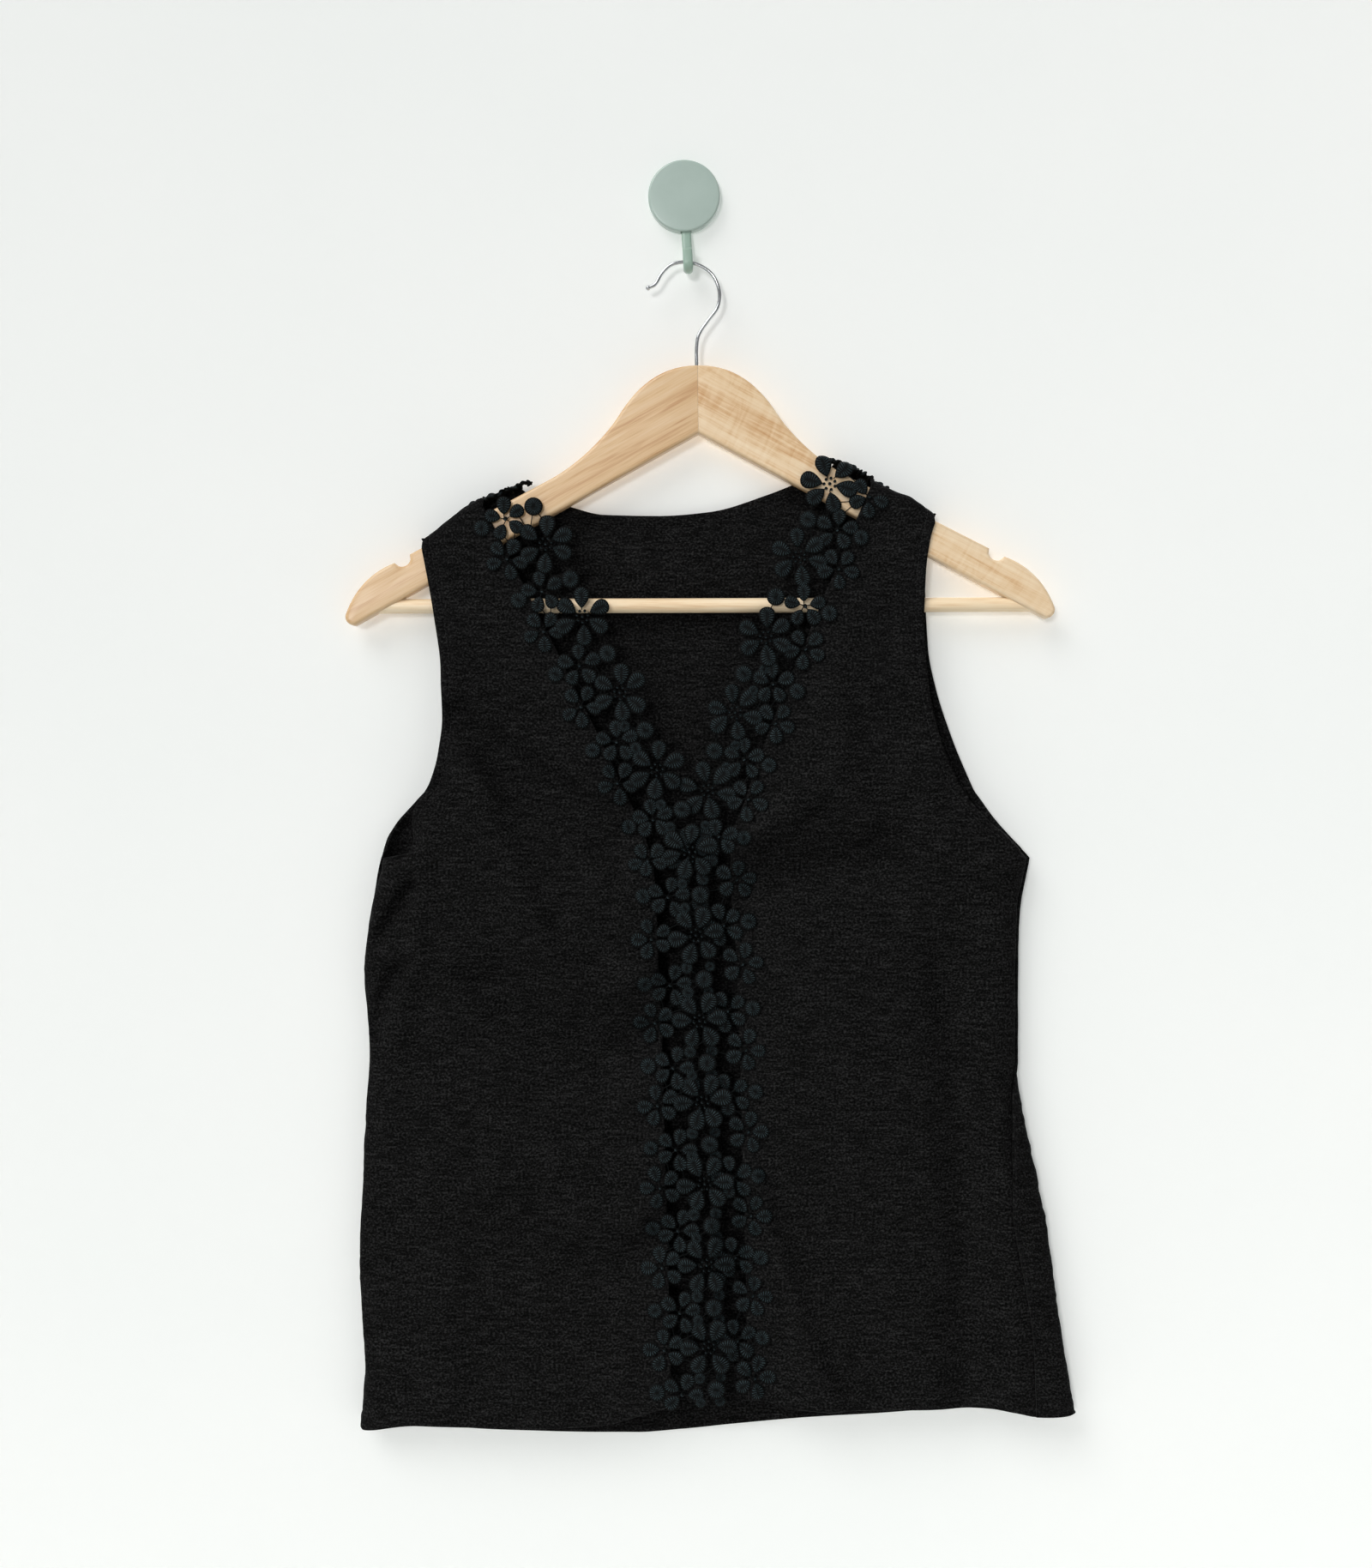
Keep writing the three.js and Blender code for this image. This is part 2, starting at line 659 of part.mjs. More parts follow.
function arm(sign) {
  const block = new THREE.ExtrudeGeometry(armShape(sign), {
    depth: HANGER_THICKNESS - 2 * ARM_ROUNDING,
    bevelThickness: ARM_ROUNDING,
    bevelSize: ARM_ROUNDING,
    bevelOffset: -ARM_ROUNDING,
    bevelSegments: 3,
    curveSegments: 10,
  });
  stood(block, HANGER_THICKNESS - 2 * ARM_ROUNDING);
  const other = new THREE.BoxGeometry(40, 40, 2 * TIP_DROP);
  other.translate(sign * (GAP / 2 - 20), -HANGER_DEPTH, 0);
  return geometryOf(solid(block).subtract(solid(other)));
}

// The round bar, with its ends cut off along the undersides of the arms.
function bar() {
  const underside = (drop) => ((drop - MITRE_HEIGHT) * (HANGER_SPAN / 2 - 7)) / (TIP_DROP - MITRE_HEIGHT);
  const rod = new THREE.CylinderGeometry(BAR_DIAMETER / 2, BAR_DIAMETER / 2, 2, 20, 1);
  rod.rotateZ(Math.PI / 2);
  const corners = rod.attributes.position;
  for (let i = 0; i < corners.count; i++) {
    const end = Math.sign(corners.getX(i));
    const height = corners.getZ(i) - BAR_DROP - BAR_LEAN * end;
    corners.setXYZ(i, end * (underside(-height) - 3 * GAP), corners.getY(i) - HANGER_DEPTH, height);
  }
  return closed(rod);
}

// The wire from its ball end round the loop and down to the apex.
function hookWire() {
  const points = WIRE.map(({ x, z }) => point(x, HANGER_DEPTH, z));
  points.push(point(WIRE.at(-1).x, HANGER_DEPTH, HANGER_APEX.z + GAP));
  const path = new THREE.CatmullRomCurve3(points);
  const section = new THREE.Shape().absarc(0, 0, WIRE_DIAMETER / 2, 0, 2 * Math.PI);
  const wire = new THREE.ExtrudeGeometry(section, {
    extrudePath: path,
    steps: WIRE_STEPS,
    curveSegments: WIRE_SIDES / 2,
    bevelEnabled: false,
  });
  const ball = new THREE.SphereGeometry(WIRE_BALL_DIAMETER / 2, 12, 8).translate(...points[0].toArray());
  return geometryOf(solid(wire).add(solid(ball)));
}

function hanger() {
  const tilted = new THREE.Group();
  tilted.position.set(HANGER_APEX.x, 0, HANGER_APEX.z);
  tilted.rotation.y = -radians(HANGER_TILT);
  tilted.add(piece('hanger_arm_left', arm(-1), wood), piece('hanger_arm_right', arm(1), wood));
  tilted.add(piece('hanger_bar', bar(), wood));
  const group = new THREE.Group();
  group.add(tilted, piece('hanger_hook', hookWire(), chrome));
  return group;
}

// ------------------------------------------------------------------------------------------------- wall hook

function disc() {
  const radius = DISC_DIAMETER / 2;
  const round = DISC_ROUNDING;
  const profile = [new THREE.Vector2(0, 0), new THREE.Vector2(radius - 0.6, 0), new THREE.Vector2(radius, 0.6)];
  for (let i = 0; i <= 4; i++) {
    const angle = (i / 4) * (Math.PI / 2);
    const rim = new THREE.Vector2(Math.cos(angle), Math.sin(angle)).multiplyScalar(round);
    profile.push(rim.add(new THREE.Vector2(radius - round, DISC_THICKNESS - round)));
  }
  profile.push(new THREE.Vector2(0, DISC_THICKNESS));
  const body = new THREE.LatheGeometry(profile, 48).rotateX(Math.PI);
  const slotWidth = J_WIDTH + 2 * GAP;
  const slotDepth = J_THICKNESS + 1;
  const slot = new THREE.BoxGeometry(slotWidth, slotDepth, 10);
  slot.translate(J_ROOT.x, -J_ROOT.depth, J_ROOT.z + GAP - 5);
  return geometryOf(solid(body).subtract(solid(slot)));
}

// The J hook seen from the side, depth to the right and height up, its ends rounded.
function hookArm() {
  const trough = { depth: HANGER_DEPTH, z: WIRE_TOP.z - WIRE_DIAMETER / 2 - 3 * GAP };
  const centre = trough.z + J_INNER_RADIUS;
  const inner = J_INNER_RADIUS;
  const outer = J_INNER_RADIUS + J_THICKNESS;
  const half = J_THICKNESS / 2;
  const tip = J_TIP_TOP - half;
  const shape = new THREE.Shape();
  shape.moveTo(J_ROOT.depth - half, J_ROOT.z);
  shape.lineTo(J_ROOT.depth - half, J_ROOT.z - 5);
  shape.lineTo(trough.depth - outer, centre);
  shape.absarc(trough.depth, centre - J_FOOT, outer, Math.PI, 2 * Math.PI, false);
  shape.absarc(trough.depth + inner + half, tip, half, 0, Math.PI, false);
  shape.absarc(trough.depth, centre, inner, 2 * Math.PI, Math.PI, true);
  shape.lineTo(J_ROOT.depth + half, J_ROOT.z - 4);
  shape.lineTo(J_ROOT.depth + half, J_ROOT.z);
  shape.closePath();
  const edge = 0.7;
  const strip = new THREE.ExtrudeGeometry(shape, {
    depth: J_WIDTH - 2 * edge,
    bevelThickness: edge,
    bevelSize: edge,
    bevelOffset: -edge,
    bevelSegments: 2,
    curveSegments: 8,
  });
  strip.translate(0, 0, edge - J_WIDTH / 2);
  // shape x (depth) becomes -Y, shape y (height) becomes Z and the strip's width runs along X
  strip.applyMatrix4(new THREE.Matrix4().set(0, 0, 1, 0, -1, 0, 0, 0, 0, 1, 0, 0, 0, 0, 0, 1));
  strip.translate(0, 0, -J_ROOT.z).rotateY(-radians(J_LEAN)).translate(J_ROOT.x, 0, J_ROOT.z);
  return closed(strip);
}

function wallHook() {
  const group = new THREE.Group();
  group.add(piece('wall_hook_disc', disc(), sage), piece('wall_hook_arm', hookArm(), sage));
  return group;
}

// --------------------------------------------------------------------------------------------------- the part

const model = new THREE.Group();
model.add(wallHook(), hanger(), blouse());

export default model;
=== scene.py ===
"""A sleeveless V-neck blouse with two lace trims, on a wooden hanger that hangs from a round wall hook.

Forms are worked out in millimetres: x to the right, z up, and depth, the distance out from the wall plane,
so that y is minus the depth. Arrays of a cloth panel have one row for each row of the cloth and one column
for each place across it.
"""

from __future__ import annotations

import itertools
import logging
import math
import random
from dataclasses import dataclass, field, replace
from enum import Enum
from functools import cached_property
from typing import Any, Callable, Iterable, Sequence

import bmesh
import bpy
import numpy as np
from bmesh.types import BMEdge, BMesh, BMVert
from bpy.types import Material, Mesh, Node, NodeSocket, NodeTree, Object, World
from mathutils import Euler, Matrix, Vector

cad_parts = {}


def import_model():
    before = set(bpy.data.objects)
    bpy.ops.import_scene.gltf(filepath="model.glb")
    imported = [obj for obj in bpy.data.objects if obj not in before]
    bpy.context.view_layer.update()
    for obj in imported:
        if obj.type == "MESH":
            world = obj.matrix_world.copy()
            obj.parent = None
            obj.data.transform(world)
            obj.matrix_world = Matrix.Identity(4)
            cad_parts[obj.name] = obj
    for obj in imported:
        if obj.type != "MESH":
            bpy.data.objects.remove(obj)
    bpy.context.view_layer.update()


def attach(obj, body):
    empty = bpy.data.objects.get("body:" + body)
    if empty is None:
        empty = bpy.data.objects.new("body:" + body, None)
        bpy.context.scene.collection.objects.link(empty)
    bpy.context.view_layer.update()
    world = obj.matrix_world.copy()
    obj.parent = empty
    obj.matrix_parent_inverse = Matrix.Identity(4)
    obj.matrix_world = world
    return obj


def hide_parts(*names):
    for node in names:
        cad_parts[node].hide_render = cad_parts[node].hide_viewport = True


Array = np.ndarray
Points = tuple[Array, Array, Array]
Pair = tuple[float, float]
Triple = tuple[float, float, float]

LOG = logging.getLogger("blouse")
MM = 0.001
QUARTER = math.pi / 2
FULL = 2 * math.pi
NOWHERE_NEAR = 1e3  # a distance in mm, given to places that an edge or a seam has nothing to do with


class Side(Enum):
    """The wearer's panels as seen from the front, each with the sign of its x."""

    LEFT = -1
    RIGHT = 1

    @property
    def label(self) -> str:
        """The side's name in lower case, as pieces use it."""
        return self.name.lower()


def each_side(left: Any, right: Any) -> Any:
    """A dataclass field that holds one value for each side."""
    return field(default_factory=lambda: {Side.LEFT: left, Side.RIGHT: right})


class Pad(Enum):
    """The padded shapes that the lace is made of."""

    PETAL = "petal"
    SMALL_PETAL = "small_petal"
    DISC = "disc"
    SMALL_DISC = "small_disc"
    KNOT = "knot"


# --- small arithmetic


def mix(a: Any, b: Any, t: Any) -> Any:
    """The value a share t of the way from a to b."""
    return a + (b - a) * t


def ease(t: Any, low: float, high: float) -> Array:
    """A smooth step from 0 at low to 1 at high."""
    u = np.clip((np.asarray(t, float) - low) / (high - low), 0, 1)
    return u * u * (3 - 2 * u)


def bump(t: Any, middle: float, reach: float) -> Array:
    """A soft hill of height 1 at the middle, which has faded out two reaches away."""
    return np.exp(-(((np.asarray(t, float) - middle) / reach) ** 2))


class Profile:
    """A smooth curve through the rows of a table, level where the table turns and straight past its ends."""

    def __init__(self, *rows: Pair) -> None:
        """Fits the curve.

        Args:
            rows: Where the curve is known and its value there, in any order.
        """
        self.at, self.value = np.array(sorted(rows), float).T
        slope = np.diff(self.value) / np.diff(self.at)
        before, after = slope[:-1], slope[1:]
        same_way = before * after > 0
        total = np.where(same_way, before + after, 1.0)
        inner = np.where(same_way, 2 * before * after / total, 0.0)
        self.tangent = np.concatenate([slope[:1], inner, slope[-1:]])

    def __call__(self, t: Any) -> Array:
        """Reads the curve.

        Args:
            t: Where to read it, a number or an array.

        Returns:
            The curve's value at each place.
        """
        t = np.asarray(t, float)
        i = np.clip(np.searchsorted(self.at, t, side="right") - 1, 0, len(self.at) - 2)
        span = self.at[i + 1] - self.at[i]
        place = (t - self.at[i]) / span
        u = np.clip(place, 0, 1)
        first, last = self.tangent[i], self.tangent[i + 1]
        curve = mix(self.value[i], self.value[i + 1], u * u * (3 - 2 * u))
        curve = curve + u * (1 - u) * span * ((1 - u) * first - u * last)
        return curve + (place - u) * span * np.where(place < 0, first, last)


def settle(rule: Callable[[Array], Array], start: Any, rounds: int = 16) -> Array:
    """Feeds a rule's answer back to it until it settles.

    Args:
        rule: Gives a better value for each value.
        start: The first value.
        rounds: How often the rule is asked.

    Returns:
        The value that it settles on.
    """
    value = start
    for _ in range(rounds):
        value = rule(value)
    return value


def run_along(places: Array) -> Array:
    """Measures along rows of places.

    Args:
        places: Rows of places in metres, each x, y and z.

    Returns:
        The distance from each row's first place, in mm.
    """
    step = np.linalg.norm(np.diff(places, axis=-2), axis=-1) / MM
    return np.concatenate([np.zeros((*step.shape[:-1], 1)), np.cumsum(step, axis=-1)], axis=-1)


@dataclass(frozen=True)
class Swell:
    """A soft swelling of the cloth: its middle, half width, half height and how far it stands out, in mm."""

    x: float
    z: float
    wide: float
    tall: float
    rise: float

    def at(self, x: Array, z: Array) -> Array:
        """How far it lifts the cloth at each place."""
        return self.rise * bump(x, self.x, self.wide) * bump(z, self.z, self.tall)


@dataclass(frozen=True)
class Fold:
    """A fold or crease along a line of points: half width and how far it stands out, in mm."""

    line: tuple[Pair, ...]
    reach: float
    rise: float

    def at(self, x: Array, z: Array) -> Array:
        """Measures from the nearest part of the fold's line.

        Args:
            x: The places' x, in mm.
            z: Their heights, in mm.

        Returns:
            How far the fold lifts the cloth at each place.
        """
        nearest = np.full(np.broadcast(x, z).shape, np.inf)
        for (x1, z1), (x2, z2) in zip(self.line, self.line[1:]):
            dx, dz = x2 - x1, z2 - z1
            t = np.clip(((x - x1) * dx + (z - z1) * dz) / (dx * dx + dz * dz), 0, 1)
            nearest = np.minimum(nearest, (x - x1 - t * dx) ** 2 + (z - z1 - t * dz) ** 2)
        return self.rise * np.exp(-nearest / self.reach**2)


class Crinkle:
    """An uneven rippling of the cloth, the sum of many small waves that run in all directions."""

    WAVES = 36

    def __init__(self, seed: int, shortest: float, longest: float, height: float, stretch: float = 1.0) -> None:
        """Draws the waves.

        Args:
            seed: The seed of the random draws.
            shortest: The shortest wave, in mm.
            longest: The longest wave, in mm.
            height: The height that the waves reach together, in mm.
            stretch: How much longer the waves are across the cloth than along it.
        """
        source = random.Random(seed)
        angle = np.array([source.uniform(0, math.pi) for _ in range(self.WAVES)])
        length = np.array([source.uniform(shortest, longest) for _ in range(self.WAVES)])
        self.across = FULL * np.cos(angle) / (length * stretch)
        self.up = FULL * np.sin(angle) / length
        self.start = np.array([source.uniform(0, FULL) for _ in range(self.WAVES)])
        self.height = height / math.sqrt(self.WAVES / 2)

    def at(self, u: Array, v: Array) -> Array:
        """Adds the waves up.

        Args:
            u: Places across the flat cloth, in mm.
            v: Places along it, in mm.

        Returns:
            How far the cloth ripples out at each place, in mm.
        """
        total = np.zeros(np.broadcast(u, v).shape)
        for across, up, start in zip(self.across, self.up, self.start):
            total += np.sin(across * u + up * v + start)
        return self.height * total


# --- materials


def linear(code: str) -> tuple[float, float, float, float]:
    """Turns an sRGB colour into the one that a shader takes.

    Args:
        code: The colour as # and six hex digits.

    Returns:
        Linear red, green, blue and an alpha of 1.
    """
    parts = [int(code[i : i + 2], 16) / 255 for i in (1, 3, 5)]
    red, green, blue = [c / 12.92 if c <= 0.04045 else ((c + 0.055) / 1.055) ** 2.4 for c in parts]
    return red, green, blue, 1.0


def add_node(
    tree: NodeTree,
    kind: str,
    inputs: dict[Any, Any] | None = None,
    stops: Sequence[tuple[float, str | float]] = (),
    **settings: Any,
) -> Node:
    """Adds a shader node.

    Args:
        tree: The material's node tree.
        kind: The shader node's type name.
        inputs: For each input, by name or number, a node or a socket to link it to or a constant to set.
        stops: Of a colour ramp, each stop's position and its sRGB colour or its level of grey.
        settings: The node's own settings.

    Returns:
        The new node.
    """
    node = tree.nodes.new("ShaderNode" + kind)
    for name, value in settings.items():
        setattr(node, name, value)
    for socket, value in (inputs or {}).items():
        if isinstance(value, Node):
            value = value.outputs[0]
        if isinstance(value, NodeSocket):
            tree.links.new(value, node.inputs[socket])
        else:
            node.inputs[socket].default_value = value
    if stops:
        elements = node.color_ramp.elements
        while len(elements) < len(stops):
            elements.new(1.0)
        for element, (position, tone) in zip(elements, stops):
            element.position = position
            element.color = linear(tone) if isinstance(tone, str) else (tone, tone, tone, 1.0)
    return node


class Surface:
    """A material in the making: a bare surface shader, and the nodes that feed it."""

    def __init__(self, name: str, **constants: Any) -> None:
        """Starts the material.

        Args:
            name: The material's name.
            constants: The shader's constants, its input names with _ for a space.
        """
        self.material = bpy.data.materials.new(name)
        self.material.use_nodes = True
        self.tree = self.material.node_tree
        self.tree.nodes.clear()
        self.shader = self.add("BsdfPrincipled")
        for key, value in constants.items():
            self.shader.inputs[key.replace("_", " ")].default_value = value
        self.output = self.add("OutputMaterial", {"Surface": self.shader})

    def add(self, kind: str, inputs: dict[Any, Any] | None = None, into: str = "", **settings: Any) -> Node:
        """Adds a node to the material, as add_node does.

        Args:
            kind: The shader node's type name.
            inputs: What each of its inputs is linked or set to.
            into: The input of the surface shader that it feeds, if it feeds one.
            settings: The node's own settings.

        Returns:
            The new node.
        """
        node = add_node(self.tree, kind, inputs, **settings)
        if into:
            self.tree.links.new(node.outputs[0], self.shader.inputs[into])
        return node

    @cached_property
    def place(self) -> NodeSocket:
        """The piece's own coordinates, in metres."""
        return self.add("TexCoord").outputs["Object"]

    def grain(self, size: Sequence[float], place: Any = None, detail: float = 2.0, **noise: Any) -> Node:
        """Adds an uneven pattern whose grains have a real size.

        Args:
            size: The grain's size along each axis, in mm.
            place: The coordinates it follows, in metres, or None for the piece's own.
            detail: How many finer layers the pattern has.
            noise: Other inputs of the noise, by name.

        Returns:
            The node whose first output is the pattern, from 0 to 1.
        """
        inputs = {"Vector": place or self.place, "Scale": [s * MM for s in size]}
        scaled = self.add("Mapping", inputs, vector_type="TEXTURE")
        return self.add("TexNoise", {"Vector": scaled, "Scale": 1.0, "Detail": detail, **noise})


@dataclass(frozen=True)
class CrinkleCrepe:
    """Black polyester crepe, woven from overtwisted yarn.

    The yarn kinks as it shrinks, which leaves a dry, pebbled face with short uneven ridges across the cloth,
    and a dull, slightly fuzzy sheen.
    """

    name: str = "crinkle_crepe"
    pebble_dark: str = "#030303"
    pebble_middle: str = "#101010"
    pebble_light: str = "#2a2a2a"
    sheen: str = "#b8b8b8"
    ridge_mm: Triple = (13.0, 2.2, 1.0)
    pebble_mm: Triple = (1.5, 1.25, 1.0)
    cloud_mm: Triple = (30.0, 21.0, 1.0)
    pebble_share: float = 0.72
    cloud_share: float = 0.06
    relief_mm: float = 0.6

    def material(self) -> Material:
        """Builds the crepe, its pattern laid along the cloth's own flat coordinates.

        Returns:
            The material.
        """
        crepe = Surface(
            self.name,
            Roughness=0.85,
            IOR=1.45,
            Specular_IOR_Level=0.03,
            Sheen_Weight=0.05,
            Sheen_Roughness=0.3,
            Sheen_Tint=linear(self.sheen),
        )
        flat = crepe.add("UVMap", uv_map="cloth")
        ridge = crepe.grain(self.ridge_mm, flat, Roughness=0.6, Distortion=0.25)
        pebble = crepe.grain(self.pebble_mm, flat, Roughness=0.6)
        cloud = crepe.grain(self.cloud_mm, flat)
        ridges = crepe.add("Math", {0: ridge, 1: 1 - self.pebble_share}, operation="MULTIPLY")
        height = crepe.add("Math", {0: pebble, 1: self.pebble_share, 2: ridges}, operation="MULTIPLY_ADD")
        level = crepe.add("Math", {0: height, 1: self.cloud_share / 2}, operation="SUBTRACT")
        shade = crepe.add("Math", {0: cloud, 1: self.cloud_share, 2: level}, operation="MULTIPLY_ADD")
        # partly painted light and shade: the tone follows the height that the bump gives the relief, with painted
        # shade in its hollows and a painted highlight on its ridges, plus a faint random cloud of tone
        stops = ((0.36, self.pebble_dark), (0.5, self.pebble_middle), (0.66, self.pebble_light))
        crepe.add("ValToRGB", {"Fac": shade}, "Base Color", stops=stops)
        crepe.add("Bump", {"Height": height, "Strength": 0.6, "Distance": self.relief_mm * MM}, "Normal")
        return crepe.material


@dataclass(frozen=True)
class GuipureThread:
    """Blue-black guipure lace, worked in rayon satin stitch on a ground that is washed away.

    Each pad is covered by tight radial threads, so that it shows fine ribs with a soft painted highlight on their
    crests. The ribs dip under at a pad's rim and sink together at its midline, as rib_levels gives them from
    midline to rim; the colour follows the ribs, with painted shade in the grooves, at the rim and along the
    midline.
    """

    name: str = "guipure_thread"
    groove: str = "#020303"
    flank: str = "#060909"
    crest_highlight: str = "#334044"
    rib_levels: tuple[Pair, ...] = ((0.0, 0.3), (0.22, 0.75), (0.5, 1.0), (0.8, 1.0), (0.94, 0.15))
    rib_sharpness: float = 1.5
    rib_share: float = 0.55
    fibre_mm: float = 0.8
    fibre_share: float = 0.7
    relief_mm: float = 0.45

    def material(self) -> Material:
        """Builds the thread, its ribs counted along the pads' own coordinates.

        Returns:
            The material.
        """
        lace = Surface(self.name, Roughness=0.6, IOR=1.5, Specular_IOR_Level=0.08)
        flat = lace.add("SeparateXYZ", {"Vector": lace.add("UVMap", uv_map="ribs")}).outputs
        turn = lace.add("Math", {0: flat["X"], 1: FULL}, operation="MULTIPLY")
        wave = lace.add("Math", {0: turn}, operation="COSINE")
        wave = lace.add("Math", {0: wave, 1: 0.5, 2: 0.5}, operation="MULTIPLY_ADD")
        wave = lace.add("Math", {0: wave, 1: self.rib_sharpness}, operation="POWER")
        level = lace.add("ValToRGB", {"Fac": flat["Y"]}, stops=self.rib_levels)
        ribs = lace.add("Math", {0: wave, 1: level}, operation="MULTIPLY")
        ribs = lace.add("Math", {0: ribs, 1: self.rib_share}, operation="MULTIPLY")
        fibre = lace.grain((self.fibre_mm,) * 3)
        height = lace.add("Math", {0: fibre, 1: self.fibre_share, 2: ribs}, operation="MULTIPLY_ADD")
        # painted light and shade: the colour follows the ribs' height, with a painted highlight on the crests and
        # painted shade in the grooves, at the rims and along the midlines
        stops = ((0.25, self.groove), (0.6, self.flank), (1.0, self.crest_highlight))
        lace.add("ValToRGB", {"Fac": height}, "Base Color", stops=stops)
        lace.add("Bump", {"Height": height, "Strength": 0.8, "Distance": self.relief_mm * MM}, "Normal")
        return lace.material


@dataclass(frozen=True)
class SewingThread:
    """Black spun polyester sewing thread, a little glossier than the crepe it sinks into."""

    name: str = "sewing_thread"
    dark: str = "#050505"
    light: str = "#161617"
    twist_mm: float = 0.5

    def material(self) -> Material:
        """Builds the thread with the light and dark of its twist.

        Returns:
            The material.
        """
        thread = Surface(self.name, Roughness=0.6, IOR=1.5, Specular_IOR_Level=0.3)
        twist = thread.grain((self.twist_mm,) * 3, detail=1.0)
        thread.add("ValToRGB", {"Fac": twist}, "Base Color", stops=((0.35, self.dark), (0.65, self.light)))
        return thread.material


@dataclass(frozen=True)
class VarnishedWood:
    """Lotus wood, planed, sanded and varnished clear.

    The varnish gives an even satin gloss over straight fine pores and wider, slightly darker growth streaks.
    figure is the share of wild, knotty grain.
    """

    name: str
    centre: Triple
    slope: float
    figure: float = 0.0
    pale: str = "#e6cfac"
    body: str = "#dfc297"
    dark: str = "#c99c67"
    streak_mm: Triple = (180.0, 14.0, 7.0)
    pore_mm: Triple = (22.0, 1.4, 0.9)
    flame_mm: Triple = (9.0, 9.0, 30.0)
    pore_share: float = 0.5
    relief_mm: float = 0.1

    def material(self) -> Material:
        """Builds the wood, its grain laid along the piece.

        Returns:
            The material.
        """
        wood = Surface(
            self.name, Roughness=0.42, IOR=1.5, Specular_IOR_Level=0.5, Coat_Weight=0.25, Coat_Roughness=0.25
        )
        turned = {
            "Vector": wood.place,
            "Location": [c * MM for c in self.centre],
            "Rotation": (0.0, math.radians(self.slope), 0.0),
        }
        along = wood.add("Mapping", turned, vector_type="TEXTURE")
        streak = wood.grain(self.streak_mm, along, detail=3.0, Roughness=0.6, Distortion=0.6)
        pore = wood.grain(self.pore_mm, along, Roughness=0.6)
        flame = wood.grain(self.flame_mm, along, Distortion=2.5)
        # each pattern is centred on 0.5, so half of what it adds is taken off again
        wild = wood.add("Math", {0: flame, 1: self.figure, 2: streak}, operation="MULTIPLY_ADD")
        level = wood.add("Math", {0: wild, 1: self.figure / 2}, operation="SUBTRACT")
        level = wood.add("Math", {0: level, 1: self.pore_share / 2}, operation="SUBTRACT")
        tone = wood.add("Math", {0: pore, 1: self.pore_share, 2: level}, operation="MULTIPLY_ADD")
        stops = ((0.22, self.dark), (0.50, self.body), (0.78, self.pale))
        wood.add("ValToRGB", {"Fac": tone}, "Base Color", stops=stops)
        wood.add("Bump", {"Height": pore, "Strength": 0.15, "Distance": self.relief_mm * MM}, "Normal")
        return wood.material


@dataclass(frozen=True)
class ChromedWire:
    """Steel wire, drawn and chrome plated: a bright mirror with faint draw lines and a little haze."""

    name: str = "chromed_wire"
    bright: str = "#c4c6c8"
    dull: str = "#a9acae"
    haze_mm: Triple = (4.0, 4.0, 9.0)
    gloss: Pair = (0.10, 0.26)

    def material(self) -> Material:
        """Builds the plating, with uneven haze.

        Returns:
            The material.
        """
        wire = Surface(self.name, Metallic=1.0, Roughness=0.16)
        haze = wire.grain(self.haze_mm, detail=3.0)
        wire.add("ValToRGB", {"Fac": haze}, "Base Color", stops=((0.3, self.dull), (0.6, self.bright)))
        wire.add("MapRange", {"Value": haze, "To Min": self.gloss[0], "To Max": self.gloss[1]}, "Roughness")
        return wire.material


@dataclass(frozen=True)
class SageEnamel:
    """Sage green stove enamel on metal: an even semi-gloss skin with a trace of orange peel."""

    name: str
    tone: str
    shade: str
    cloud_mm: float = 14.0
    peel_mm: float = 1.4
    relief_mm: float = 0.08

    def material(self) -> Material:
        """Builds the enamel, a little uneven in tone.

        Returns:
            The material.
        """
        enamel = Surface(self.name, Roughness=0.34, IOR=1.5, Coat_Weight=0.3, Coat_Roughness=0.12)
        cloud, peel = enamel.grain((self.cloud_mm,) * 3), enamel.grain((self.peel_mm,) * 3, detail=1.0)
        enamel.add("ValToRGB", {"Fac": cloud}, "Base Color", stops=((0.3, self.shade), (0.65, self.tone)))
        enamel.add("Bump", {"Height": peel, "Strength": 0.12, "Distance": self.relief_mm * MM}, "Normal")
        return enamel.material


@dataclass(frozen=True)
class MattPaint:
    """Matt emulsion paint: a pale, even surface, a little cloudy where the roller left more or less of it.

    wash is the light that reaches the wall from the rest of a white room, whose other walls aren't built.
    """

    name: str
    light: str
    dark: str
    see_through_back: bool = False
    wash: str = "#000000"
    cloud_mm: float = 300.0

    def material(self) -> Material:
        """Builds the paint, on one side only where the back is to be seen through.

        Returns:
            The material.
        """
        wash = {"Emission_Color": linear(self.wash), "Emission_Strength": 1.0}
        paint = Surface(self.name, Roughness=0.9, Specular_IOR_Level=0.1, **wash)
        cloud = paint.grain((self.cloud_mm,) * 3)
        paint.add("ValToRGB", {"Fac": cloud}, "Base Color", stops=((0.3, self.dark), (0.7, self.light)))
        if self.see_through_back:
            behind = paint.add("NewGeometry").outputs["Backfacing"]
            either = paint.add("MixShader", {0: behind, 1: paint.shader, 2: paint.add("BsdfTransparent")})
            paint.tree.links.new(either.outputs[0], paint.output.inputs["Surface"])
        return paint.material


# --- making of pieces


def millimetres(points: Iterable[Triple]) -> list[Vector]:
    """Turns points of x, depth and z in mm into places in metres."""
    return [Vector((x * MM, -depth * MM, z * MM)) for x, depth, z in points]


